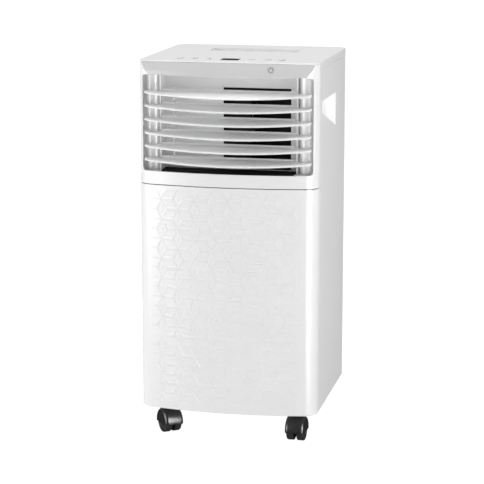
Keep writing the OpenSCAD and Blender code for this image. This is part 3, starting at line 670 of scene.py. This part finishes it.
def shelf(z0, z1, back):
    """A level shelf behind the bezel's skin."""
    steps = [u for u in front_steps() if abs(u) < BOW_LEN + TURN_LEN * 0.9]
    outline = [skin(u, WALL * 0.6) for u in steps]
    end = HALF_W - 3.1
    outline = [p for p in outline if p[1] < back] + [(end, back), (-end, back)]
    return prism(outline, z0, z1)


BEZEL_TOP = TOP - WALL - 0.4
POST_X, POST_Y, POST_R = 143.0, -130.0, 14.0  # the round posts at the ends of the louvres
CHEEK_X = 127.9  # just outside the duct's cheeks
SHELF_BACK = -113.5
FACE_T = 0.5  # the slanted forehead's face is a layer of its own, coloured greyer than the white as painted shade


def forehead(front, back):
    """The slanted wall between two depths behind the forehead's face."""
    wall = brow_wedge(back)
    room = prism([skin(u) for u in front_steps()], OPEN_TOP + 0.01, BEZEL_TOP - 0.01)
    return meet(wall, carved(room, [brow_wedge(front)]))


def receiver_hole():
    return on_brow(rod("y", 0, 0, WINDOW_R + 0.2, -6, 6))


def bezel():
    wedge = forehead(FACE_T, WALL)
    opening = prism(rounded(-OPEN_HALF, OPEN_HALF, OPEN_LOW, OPEN_TOP - 0.02, 7), FRONT - 1, FRONT + 30, "y")
    low, high = OPEN_LOW - 1, OPEN_TOP + 1
    posts = [rod("z", s * POST_X, POST_Y, POST_R, low, high) for s in (-1, 1)]
    shelves = [shelf(OPEN_LOW - WALL, OPEN_LOW, SHELF_BACK), shelf(OPEN_TOP, OPEN_TOP + WALL, SHELF_BACK)]
    hole = receiver_hole()
    body = front_band(0, WALL, SEAM + 0.7, BEZEL_TOP)
    body = carved(body, [opening])
    returns = [block(*span(s, CHEEK_X, HALF_W - 1), POST_Y - 1, POST_Y + 3, low, high) for s in (-1, 1)]
    return carved(body, [brow_wedge(FACE_T), hole], [*shelves, wedge, *posts, *returns])


piece(bezel(), "outlet_bezel_shell", "white", replaces=["outlet_bezel"], round_edges=0.8)
# the forehead's face, coloured with the grey of painted shade
piece(carved(forehead(0, FACE_T), [receiver_hole()]), "outlet_bezel_forehead", "brow")

window = lathe([(0, 0.1), (WINDOW_R - 0.4, 0.1), (WINDOW_R, 0.5), (WINDOW_R, 2.5), (0, 2.5)], 48)
DOTS = [(4 * math.cos(2 * math.pi / 7 * i), 4 * math.sin(2 * math.pi / 7 * i)) for i in range(7)]
dots = [rod("y", x, z, 1.15, -1, 1, 20) for x, z in DOTS]
# the receiver window takes the forehead's grey, which is painted shade
piece(carved(on_brow(window), [on_brow(together(dots))]), "receiver_window_disc", "brow",
      replaces=["receiver_window"])
seats = [shifted(lathe([(0, 0.7), (1.1, 0.7), (1.1, 1.2), (0, 1.2)], 20), x, 0, z) for x, z in DOTS]
piece(on_brow(together(seats)), "receiver_dots", "print")

# ---- louvres ----

hinges = {j["child"]: j for j in frame["joints"]}
TILT, BLADE_T = 20.0, 2.4
HUB_HALF, PIN_END = 123.0, 127.2  # the thick rod along a blade's rear edge, and the pins at its ends
LUG_REACH, LUG_X0, LUG_X1 = 7.5, -101.5, -98.5  # the lug that carries the link bar's pin


def blade(k):
    """One louvre, made level about its hinge and then tilted to its place."""
    low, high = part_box(f"louver_{k}")
    hinge = [v / MM for v in hinges[f"louver_{k}"]["pos_m"]]
    stretch = 1 / math.cos(math.radians(TILT))
    edge = high.x / MM
    steps = [u for u in front_steps() if abs(u) < BOW_LEN + TURN_LEN * 0.72]
    outline = [skin(u, 1.2) for u in steps]
    outline = [p for p in outline if abs(p[0]) <= edge and p[1] < TURN_Y]
    reach = hinge[1] + 2
    outline = [(-edge, reach)] + outline + [(edge, reach)]
    flat = [(x, (y - hinge[1]) * stretch) for x, y in outline]
    plate = prism(flat, -BLADE_T / 2, BLADE_T / 2)
    cuts = []
    for s in (-1, 1):
        cuts.append(rod("z", s * POST_X, POST_Y - hinge[1], POST_R + 4, -9, 9))
        cuts.append(block(*span(s, HUB_HALF + 0.5, 190), -5.5, 30, -9, 9))
    plate = tidy(carved(plate, cuts))
    settle(softened(plate, 1.05, 3))
    parts = [rod("x", 0, 0, 2.6, -HUB_HALF, HUB_HALF, 40)]
    parts += [rod("x", 0, 0, 2, *span(s, HUB_HALF - 4, PIN_END), 32) for s in (-1, 1)]
    lug = arc(LUG_REACH, 0, 2.5, -90, 90, 8) + [(0, 2.5), (0, -2.5)]
    parts += [prism(lug, LUG_X0, LUG_X1, "x"), rod("x", LUG_REACH, 0, 1.5, LUG_X0 - 3.7, LUG_X0 + 1.5, 24)]
    obj = carved(plate, adds=parts)
    turn = Matrix.Rotation(math.radians(TILT), 4, "X")
    placed(obj, Matrix.Translation((0, hinge[1], hinge[2])) @ turn)
    piece(obj, f"louver_{k}_blade", "white", f"louver_{k}", [f"louver_{k}"])


for k in range(1, 7):
    blade(k)

low, high = [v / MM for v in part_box("louver_link")]
bar = prism(rounded(low.y, high.y, low.z, high.z, 3.1), low.x, high.x, "x")
spacing = (hinges["louver_1"]["pos_m"][2] - hinges["louver_2"]["pos_m"][2]) / MM
holes = []
for k in range(6):
    radius = 1.6 if k == 0 else 1.9  # the lower five have more play
    z = high.z - 4 - spacing * k
    holes.append(rod("x", (low.y + high.y) / 2, z, radius, low.x - 1, high.x + 1, 32))
piece(carved(bar, [together(holes)]), "louver_link_bar", "white", "louver_link", ["louver_link"], 0.3)

# a black lining in the short channel between the duct's wall and the fan case: painted shade, a dark sheet that
# stands for the shade in the channel
throat = block(-14.9, 109.9, -115.9, -62.5, 505.1, 652.9)
piece(carved(throat, [block(-13.4, 108.4, -117, -61, 506.6, 651.4)]), "air_duct_shade_lining", "shade_sheet")

# and a black mat on the sill under the lowest blade: painted shade, a dark sheet that stands for the shade under
# the blade
sill = [skin(u, 4) for u in front_steps()]
MAT_HALF = 124.5
sill = [p for p in sill if abs(p[0]) < MAT_HALF]
mat = prism([(-MAT_HALF, -117), *sill, (MAT_HALF, -117)], OPEN_LOW + 0.1, OPEN_LOW + 1.6)
piece(mat, "outlet_sill_shade_mat", "shade_sheet")

# ---- top cover ----

KEY_Y = -108.0
CONTROL_X = -4.0
KEYS = {"power": -94, "mode": -67, "speed": -39, "down": 39, "up": 69, "timer": 95}
TRAY = (-80.0, 88.0, 40.0, 90.0)
NOTCH = (-29.0, 37.0, 62.0, 90.0)
SIDE_LOW, SIDE_TOP = 56.0, 690.0  # the side and rear panels' lower and upper edges


def sliced(obj, cuts):
    """Divides a solid's faces along planes square to an axis, so that none is left with a hole in it."""
    bm = bmesh.new()
    bm.from_mesh(obj.data)
    for axis, at in cuts:
        spot, normal = Vector(), Vector()
        spot[axis], normal[axis] = at * MM, 1
        everything = bm.verts[:] + bm.edges[:] + bm.faces[:]
        bmesh.ops.bisect_plane(bm, geom=everything, plane_co=spot, plane_no=normal)
    bm.to_mesh(obj.data)
    bm.free()
    return obj


def key_shape(x, half_x, half_y, r, z0, z1):
    """A block with round corners in the row of keys."""
    return prism(rounded(x - half_x, x + half_x, KEY_Y - half_y, KEY_Y + half_y, r), z0, z1)


def top_cover():
    skirt = SIDE_TOP + 0.4
    plate = sliced(prism(plan(), TOP - WALL, TOP), [(1, 65), (1, KEY_Y), (0, 4)])
    back_rim = carved(
        prism(plan(0.01), skirt, TOP - 1),
        [prism(plan(WALL), skirt - 1, TOP), block(-200, 200, -200, SHELL_BACK + 0.4, skirt - 1, TOP)],
    )
    x0, x1, y0, y1 = TRAY
    walls = [(1, 75), (0, 4)]
    basin = prism(rounded(x0 - WALL, x1 + WALL, y0 - WALL, y1 + WALL, 6), TOP - 8.5, TOP - 1)
    basin = sliced(basin, walls)
    a0, a1, b0, b1 = NOTCH
    deep = prism(rounded(a0 - WALL, a1 + WALL, b0 - WALL, b1 + WALL - 0.02, 6), TOP - 13.5, TOP - 1)
    deep = sliced(deep, walls)
    cuts = [
        prism(rounded(x0, x1, y0, y1, 4), TOP - 6, TOP + 1),
        prism(rounded(a0, a1, b0, b1, 4), TOP - 11, TOP + 1),
        key_shape(CONTROL_X, 16.7, 14.7, 1.5, TOP - 9, TOP + 1),
        brow_wedge(0),
    ]
    cuts += [key_shape(CONTROL_X + x, 8.9, 6.4, 3.4, TOP - 9, TOP + 1) for x in KEYS.values()]
    return carved(plate, cuts, [back_rim, basin, deep])


piece(top_cover(), "top_cover_shell", "white", replaces=["top_cover"], round_edges=0.7, merge=False)


def stroke(points, width):
    """A flat line with square ends, as a polygon."""
    left, right = [], []
    for i, p in enumerate(points):
        a, b = points[max(i - 1, 0)], points[min(i + 1, len(points) - 1)]
        d = math.dist(a, b)
        n = (-(b[1] - a[1]) / d * width / 2, (b[0] - a[0]) / d * width / 2)
        left.append((p[0] + n[0], p[1] + n[1]))
        right.append((p[0] - n[0], p[1] - n[1]))
    return left + right[::-1]


def fan_leaf(turn):
    points = arc(0, 2.3, 1.5, -80, 200, 10) + [(0.0, 0.5)]
    c, s = math.cos(turn), math.sin(turn)
    return [(x * c - y * s, x * s + y * c) for x, y in points]


SYMBOL_SIZE = 1.4
SYMBOLS = {
    "power": [stroke(arc(0, 0, 3.3, 120, 420, 24), 1.2), stroke([(0, 0.6), (0, 4.2)], 1.2)],
    "mode": [arc(0, 0, 1.7, 0, 360, 20)[:-1]]
    + [stroke([(2.6 * math.cos(a), 2.6 * math.sin(a)), (4.1 * math.cos(a), 4.1 * math.sin(a))], 0.8)
       for a in (math.pi / 4 * i for i in range(8))],
    "speed": [fan_leaf(2 * math.pi / 3 * i) for i in range(3)],
    "down": [stroke([(-3.4, 1.4), (0, -1.6), (3.4, 1.4)], 1.5)],
    "up": [stroke([(-3.4, -1.4), (0, 1.6), (3.4, -1.4)], 1.5)],
    "timer": [stroke(arc(0, 0, 3.6, 0, 359, 28), 1.1), stroke([(0, 2.4), (0, 0), (1.9, -0.6)], 0.9)],
}
for name, x in KEYS.items():
    c = CONTROL_X + x
    cap = key_shape(c, 8.5, 6, 3, TOP - WALL, TOP - 0.05)
    stem = rod("z", c, KEY_Y, 2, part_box(f"key_{name}")[0].z / MM, TOP - 1, 32)
    piece(carved(cap, adds=[stem]), f"key_{name}_cap", "white", f"key_{name}", [f"key_{name}"], 0.4)
    marks = []
    for shape in SYMBOLS[name]:
        outline = [(c + px * SYMBOL_SIZE, KEY_Y + py * SYMBOL_SIZE) for px, py in shape]
        marks.append(prism(outline, TOP - 0.2, TOP - 0.01))
    piece(together(marks), f"key_{name}_symbol", "print", f"key_{name}")

lamps = [rod("z", CONTROL_X + KEYS[name] + 3, KEY_Y + 13, 1.8, TOP - 0.2, TOP + 0.03, 24)
         for name in ("power", "mode", "down", "up", "timer")]
bars = []
for name in ("mode", "speed", "up"):
    c = CONTROL_X + KEYS[name]
    bars.append(prism(rounded(c - 6, c - 1, KEY_Y + 12, KEY_Y + 14, 0.9), TOP - 0.2, TOP + 0.03))
piece(together(lamps + bars), "top_cover_lamps", "print")

low, high = [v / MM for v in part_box("display_window")]
piece(prism(rounded(low.x, high.x, low.y, high.y, 1.2), low.z, high.z), "display_glass_plate", "display",
      replaces=["display_window"], round_edges=0.3)

# ---- sides ----

CUP_Y0, CUP_Y1, CUP_TOP, CUP_FRONT_LOW, CUP_LOW = -112.0, 32.0, 632.0, 611.0, 568.0
CUP_IN, CUP_OUT, CUP_BEND = 140.0, 154.0, -82.0  # the pocket's floor comes outwards behind the bend


def filleted(points, r, n=6):
    """A convex outline with its corners rounded."""
    out = []
    for p, q, t in zip(points[-1:] + points[:-1], points, points[1:] + points[:1]):
        a, b = Vector(p) - Vector(q), Vector(t) - Vector(q)
        a.normalize()
        b.normalize()
        half = a.angle(b) / 2
        middle = Vector(q) + (a + b).normalized() * (r / math.sin(half))
        start = Vector(q) + a * (r / math.tan(half)) - middle
        stop = Vector(q) + b * (r / math.tan(half)) - middle
        sweep = start.angle_signed(stop)
        for i in range(n + 1):
            turned = Matrix.Rotation(-sweep * i / n, 2) @ start
            out.append(tuple(middle + turned))
    return out


def cup_mouth(inset):
    """The mouth of the grip pocket, low at the rear."""
    y0, y1, top = CUP_Y0 + inset, CUP_Y1 - inset, CUP_TOP - inset
    return [(y0, top), (y0, CUP_FRONT_LOW + inset), (y1, CUP_LOW + inset), (y1, top)]


def cup_floor(s, back, y0, y1):
    """Everything outwards of the pocket's floor, moved inwards by back."""
    outline = [(CUP_IN - back, y0), (172, y0), (172, y1), (CUP_OUT - back, y1), (CUP_IN - back, CUP_BEND)]
    return prism([(s * x, y) for x, y in outline], CUP_LOW - 1, CUP_TOP + 1)


def side_panel(s):
    front, back = SHELL_BACK + 0.4, 138
    outline = [(front, SIDE_LOW), (back, SIDE_LOW), (back, SIDE_TOP), (front, SIDE_TOP)]
    plate = prism(outline, *span(s, HALF_W - WALL, HALF_W), "x")
    return carved(plate, [prism(filleted(cup_mouth(-0.3), 4.3), s * 150, s * 170, "x")])


def handle_cup(s):
    outer = prism(filleted(cup_mouth(0), 4), s * (CUP_IN - 2), s * HALF_W, "x")
    pocket = prism(filleted(cup_mouth(2), 3), s * CUP_IN, s * 172, "x")
    outer = meet(outer, cup_floor(s, 2, CUP_Y0, CUP_Y1))
    pocket = meet(pocket, cup_floor(s, 0, CUP_Y0 + 2, CUP_Y1 - 2))
    return carved(outer, [pocket])


for s, side in ((-1, "left"), (1, "right")):
    piece(side_panel(s), f"{side}_side_panel_shell", "white",
          replaces=[f"{side}_side_panel"], round_edges=0.3)
    # the pockets take the whiter tone of painted light
    piece(handle_cup(s), f"{side}_handle_pocket", "painted_light_white",
          replaces=[f"{side}_handle_cup"], round_edges=0.8)

# ---- rear ----

FILTER = (-125.0, 125.0, 512.0, 672.0)
EXHAUST = (62.0, 398.0)
SPOUTS = (466.0, 76.0)
SPOUT_X = -110.0
GLAND = (128.0, 330.0)
SCREWS = [(s * 145, z) for s in (-1, 1) for z in (86, 320, 498, 678)]
SLAT, SLAT_GAP = 14, 8


def slots(x0, x1, z0, z1, y0, y1):
    """Level slots with round ends."""
    out, z = [], z0
    while z <= z1 - SLAT_GAP + 0.01:
        out.append(prism(rounded(x0, x1, z, z + SLAT_GAP, 2), y0, y1, "y"))
        z += SLAT
    return out


def rear_panel():
    turn = [math.pi / 2 * i / 12 for i in range(13)]
    c = HALF_W - REAR_R

    def run(inset):
        r, y = REAR_R - inset, REAR - REAR_R
        right = [(HALF_W - inset, 138.4)]
        right += [(c + r * math.cos(a), y + r * math.sin(a)) for a in turn]
        return right + [(-px, py) for px, py in reversed(right)]

    shell = prism(run(0) + run(WALL)[::-1], SIDE_LOW, SIDE_TOP)
    x0, x1, z0, z1 = FILTER
    frame_box = prism(rounded(x0 - 2.4, x1 + 2.4, z0 - 2.4, z1 + 2.4, 3), 148, REAR - 0.02, "y")
    cuts = [prism(rounded(x0 - 0.4, x1 + 0.4, z0 - 0.4, z1 + 0.4, 1.5), REAR - 12, REAR + 1, "y")]
    rib = 4
    bay = (x1 - x0 - 4 * rib) / 3
    starts = [x0 + rib + i * (bay + rib) for i in range(3)]
    windows = [prism(rounded(x, x + bay, z0 + rib, z1 - rib, 3), 147, REAR, "y") for x in starts]
    cuts.append(together(windows))
    grille = slots(-120, -3, 112, 290, 140, REAR + 1) + slots(3, 120, 112, 290, 140, REAR + 1)
    cuts.append(together(grille))
    cuts.append(rod("y", *EXHAUST, 67.2, 140, REAR + 1, 96))
    holes = [rod("y", SPOUT_X, z, 8.3, 140, REAR + 1, 48) for z in SPOUTS]
    holes += [rod("y", *GLAND, 9.1, 140, REAR + 1, 48)]
    holes += [rod("y", x, z, 2.2, 152, REAR + 1, 24) for x, z in SCREWS]
    cuts.append(together(holes))
    return carved(shell, cuts, [frame_box])


piece(rear_panel(), "rear_panel_shell", "white", replaces=["rear_panel"], round_edges=0.5)


def filter_frame():
    x0, x1, z0, z1 = FILTER
    border, rib = 9, 5
    plate = prism(rounded(x0, x1, z0, z1, 1.2), REAR - 9, REAR, "y")
    bay = (x1 - x0 - 2 * border - 2 * rib) / 3
    openings = []
    for i in range(3):
        x = x0 + border + i * (bay + rib)
        openings += slots(x, x + bay, z0 + border, z1 - border, REAR - 20, REAR + 1)
    back = block(x0 + border, x1 - border, REAR - 20, REAR - 4, z0 + border, z1 - border)
    grips = [rounded(*span(s, 90, 108), z1 - 6, z1 + 4, 1.5) for s in (-1, 1)]
    grips = [prism(grip, REAR - 3, REAR + 1, "y") for grip in grips]
    return carved(plate, [back, together(openings), together(grips)])


piece(filter_frame(), "filter_frame_shell", "white", "filter", ["filter_frame"], 0.5)


def collar():
    r, lip = 64, 1.2
    profile = [(r, 144), (r, REAR + 12 - lip), (r + 0.4, REAR + 11.8), (r + 1.5, REAR + 12),
               (r + 2.6, REAR + 11.8), (r + 3, REAR + 11), (r + 3, REAR + 4.2), (r + 3.6, REAR + 3.2),
               (r + 4.6, REAR + 3), (73, REAR + 3), (74, REAR + 2.2), (74, REAR + 0.1),
               (r + 3, REAR + 0.1), (r + 3, 144)]
    obj = lathe(profile, 128)
    notches = []
    for i in range(4):
        a = math.pi / 2 * i + math.pi / 4
        x, z = (r + 6.8) * math.cos(a), (r + 6.8) * math.sin(a)
        notches.append(rod("y", x, z, 1.6, REAR + 1.4, REAR + 4, 24))
    return shifted(carved(obj, [together(notches)]), EXHAUST[0], 0, EXHAUST[1])


piece(collar(), "exhaust_collar_ring", "grey", replaces=["exhaust_collar"], round_edges=0.2)

for name, z in zip(("upper", "lower"), SPOUTS):
    plug = lathe([(0, 150), (4.4, 150), (4.93, 151), (4.93, REAR + 0.5), (10.2, REAR + 0.5), (11, REAR + 1.2),
                  (11, REAR + 3.2), (10.2, REAR + 4), (6, REAR + 4.3), (0, REAR + 4.4)], 64)
    tab = prism(rounded(-1.5, 1.5, REAR + 3, REAR + 9, 1.2), -7, 7)
    grooves = [block(-12, -7, REAR - 1, REAR + 6, -2, 2)]
    cap = carved(plug, grooves, [tab])
    piece(shifted(cap, SPOUT_X, 0, z), f"{name}_drain_cap_plug", "rubber", f"{name}_drain_cap",
          [f"{name}_drain_cap"], 0.4)

tube = [(5, 140), (5, REAR - 1.1), (5.6, REAR - 0.5), (7.4, REAR - 0.5), (8, REAR - 1.1), (8, 140)]
spouts = [shifted(lathe(tube, 64), SPOUT_X, 0, z) for z in SPOUTS]
piece(together(spouts), "drain_spout_tubes", "grey", replaces=["drain_spouts"])

gland = lathe([(4, 154), (4, REAR + 10), (6.2, REAR + 10), (7, REAR + 9.2), (7, REAR + 7),
               (6.5, REAR + 6.6), (6.5, REAR + 6), (7, REAR + 5.6), (7, REAR + 3.4), (11.2, REAR + 3),
               (12, REAR + 2.2), (12, REAR + 0.1), (9, REAR + 0.1), (9, 154)], 64)
piece(shifted(gland, GLAND[0], 0, GLAND[1]), "cord_gland_bush", "black", replaces=["cord_gland"])


def hook(z, up):
    low, high = sorted((z - up * 2, z + up * 13))
    arm = prism(rounded(-124, -96, z - 2, z + 2, 1.9), REAR + 0.1, REAR + 9, "y")
    lip = prism(rounded(-124, -96, low, high, 5), REAR + 8, REAR + 11, "y")
    return carved(arm, adds=[lip])


hooks = together([hook(345, -1), hook(425, 1)])
piece(hooks, "cord_hook_pair", "white", replaces=["cord_hooks"], round_edges=0.5)

heads = []
for x, z in SCREWS:
    head = lathe([(0, 153), (2, 153), (2, REAR), (3.8, REAR + 0.05), (3.8, REAR + 0.6), (3.2, REAR + 1.4),
                  (1.8, REAR + 1.8), (0, REAR + 1.85)], 32)
    cross = [block(-a, a, REAR + 0.8, REAR + 3, -b, b) for a, b in ((2.4, 0.5), (0.5, 2.4))]
    heads.append(shifted(carved(head, cross), x, 0, z))
piece(together(heads), "cabinet_screw_heads", "steel", replaces=["cabinet_screws"])

# ---- casters ----

WHEEL_R, TRAIL, HOOD_R, HOOD_W = 21.0, 12.0, 25.0, 37.0


def hood_profile():
    """Half the outline of the hood, turned about the axle: a helmet with soft shoulders."""
    half, r, soft = HOOD_W / 2, HOOD_R, 6.5
    points = [(0.0, half)] + arc(r - soft, half - soft, soft, 90, 0, 8)
    return points + [(a, -b) for a, b in reversed(points)]


def caster_hood():
    dome = lathe(hood_profile(), 96)
    cuts = [block(-40, 40, -40, 40, -40, -3)]
    inner = HOOD_W / 2 - 1.6
    for s in (-1, 1):
        cuts.append(rod("y", 0, 0, WHEEL_R + 1, *span(s, 2.5, inner), 72))
    cuts.append(rod("y", 0, 0, 2.57, -inner, inner, 32))
    dome = tidy(carved(dome, cuts))
    settle(softened(dome, 0.5, 2, 40))
    shifted(dome, -TRAIL, 0, WHEEL_R)
    seat = rod("z", 0, 0, 13, 38, 54, 64)
    settle(softened(seat, 1.2, 3))
    seat = carved(seat, [rod("y", -TRAIL, WHEEL_R, WHEEL_R + 1, -30, 30, 72)])
    return carved(dome, adds=[seat, rod("z", 0, 0, 4, 53, 74, 48)])


def caster_wheels():
    """Two moulded wheels with a raised rim and hub cap, on their axle."""
    outer, inner, r = 16.5, 2.9, WHEEL_R
    profile = [(0, inner), (7, inner), (8, inner + 2), (r - 5, inner + 2), (r - 4, inner),
               (r - 1.6, inner), (r - 0.5, inner + 0.5), (r, inner + 1.6), (r, outer - 2.4),
               (r - 0.6, outer - 1), (r - 2, outer - 0.3), (r - 3.6, outer), (r - 4.6, outer - 0.6),
               (r - 5.4, outer - 2.2), (9.4, outer - 2.6), (8.4, outer - 1.2), (7.4, outer - 0.6),
               (4, outer - 0.2), (0, outer - 0.1)]
    left = lathe(profile, 96)
    right = lathe([(a, -b) for a, b in profile], 96)
    return shifted(together([left, right, rod("y", 0, 0, 2.5, -inner - 0.5, inner + 0.5, 32)]), -TRAIL, 0, r)


for j in list(frame["joints"]):
    if not j["name"].startswith("caster_"):
        continue
    corner = j["child"][len("caster_"):]
    axle = next(k for k in frame["joints"] if k["child"] == f"wheels_{corner}")
    stem = Vector(j["pos_m"]) / MM
    trail = stem - Vector(axle["pos_m"]) / MM
    heading = Matrix.Rotation(math.atan2(trail.y, trail.x), 4, "Z")
    place = Matrix.Translation((stem.x, stem.y, 0)) @ heading
    hood, wheels = f"caster_{corner}", f"wheels_{corner}"
    piece(placed(caster_hood(), place), f"{hood}_hood", "black", hood, [hood])
    piece(placed(caster_wheels(), place), f"{wheels}_pair", "tyre", wheels, [wheels])

# ---- studio ----

floor = bpy.data.objects.new("floor", bpy.data.meshes.new("floor"))
floor.data.from_pydata([(-25, -25, 0), (25, -25, 0), (25, 25, 0), (-25, 25, 0)], [], [(0, 1, 2, 3)])
scene.collection.objects.link(floor)
paper = surface("white_floor", (0.1, 0.1, 0.1), 0.8, grain=4, grain_depth=0.05, wave=300, specular=0.1)
glow = paper.node_tree.nodes["Principled BSDF"].inputs
glow["Emission Color"].default_value = (1, 1, 1, 1)
glow["Emission Strength"].default_value = 0.99
floor.data.materials.append(paper)
floor.visible_glossy = False

world = bpy.data.worlds.new("studio")
world.use_nodes = True
world.node_tree.nodes["Background"].inputs["Color"].default_value = (1, 1, 1, 1)
world.node_tree.nodes["Background"].inputs["Strength"].default_value = 0.05
scene.world = world
scene.view_settings.view_transform = "Standard"


def soft_light(name, place, size, power, target=(0, 0, 0.38), gloss_only=False):
    """An area light; one that is gloss_only shows in reflections and lights nothing else."""
    light = bpy.data.lights.new(name, "AREA")
    light.shape, light.size, light.size_y, light.energy = "RECTANGLE", *size, power
    obj = bpy.data.objects.new(name, light)
    obj.location = place
    obj.rotation_mode = "QUATERNION"
    obj.rotation_quaternion = (Vector(target) - Vector(place)).to_track_quat("-Z", "Y")
    obj.visible_diffuse = not gloss_only
    scene.collection.objects.link(obj)


soft_light("key", (-2.7, -1.05, 0.9), (0.6, 1.8), 42)
soft_light("left_sheen", (-1.5, -1.5, 0.4), (0.7, 1.6), 60, (-0.1, -0.16, 0.35), gloss_only=True)
soft_light("fill", (0.9, -0.8, 0.5), (0.2, 1.6), 1.8)
soft_light("side_fill", (1.0, -0.4, 0.5), (0.2, 1.6), 3.9)
soft_light("corner_sheen", (0.85, -0.8, 0.3), (0.36, 0.9), 28, (0.13, -0.13, 0.3), gloss_only=True)
ceiling = bpy.data.lights.new("ceiling", "SUN")  # a wide, even light from straight above
ceiling.energy, ceiling.angle = 3.6, math.radians(50)
scene.collection.objects.link(bpy.data.objects.new("ceiling", ceiling))

AZIMUTH, ELEVATION, DISTANCE = math.radians(12.391), math.radians(11.604), 3.5
target = Vector((-0.0063, 0, 0.344))
back = Vector((math.sin(AZIMUTH) * math.cos(ELEVATION), -math.cos(AZIMUTH) * math.cos(ELEVATION),
               math.sin(ELEVATION)))
lens = bpy.data.cameras.new("camera")
lens.lens, lens.sensor_width = 136.72, 36.0
lens.clip_start, lens.clip_end = 0.1, 100
camera = bpy.data.objects.new("camera", lens)
camera.location = target + back * DISTANCE
camera.rotation_mode = "QUATERNION"
camera.rotation_quaternion = (-back).to_track_quat("-Z", "Y")
scene.collection.objects.link(camera)
scene.camera = camera
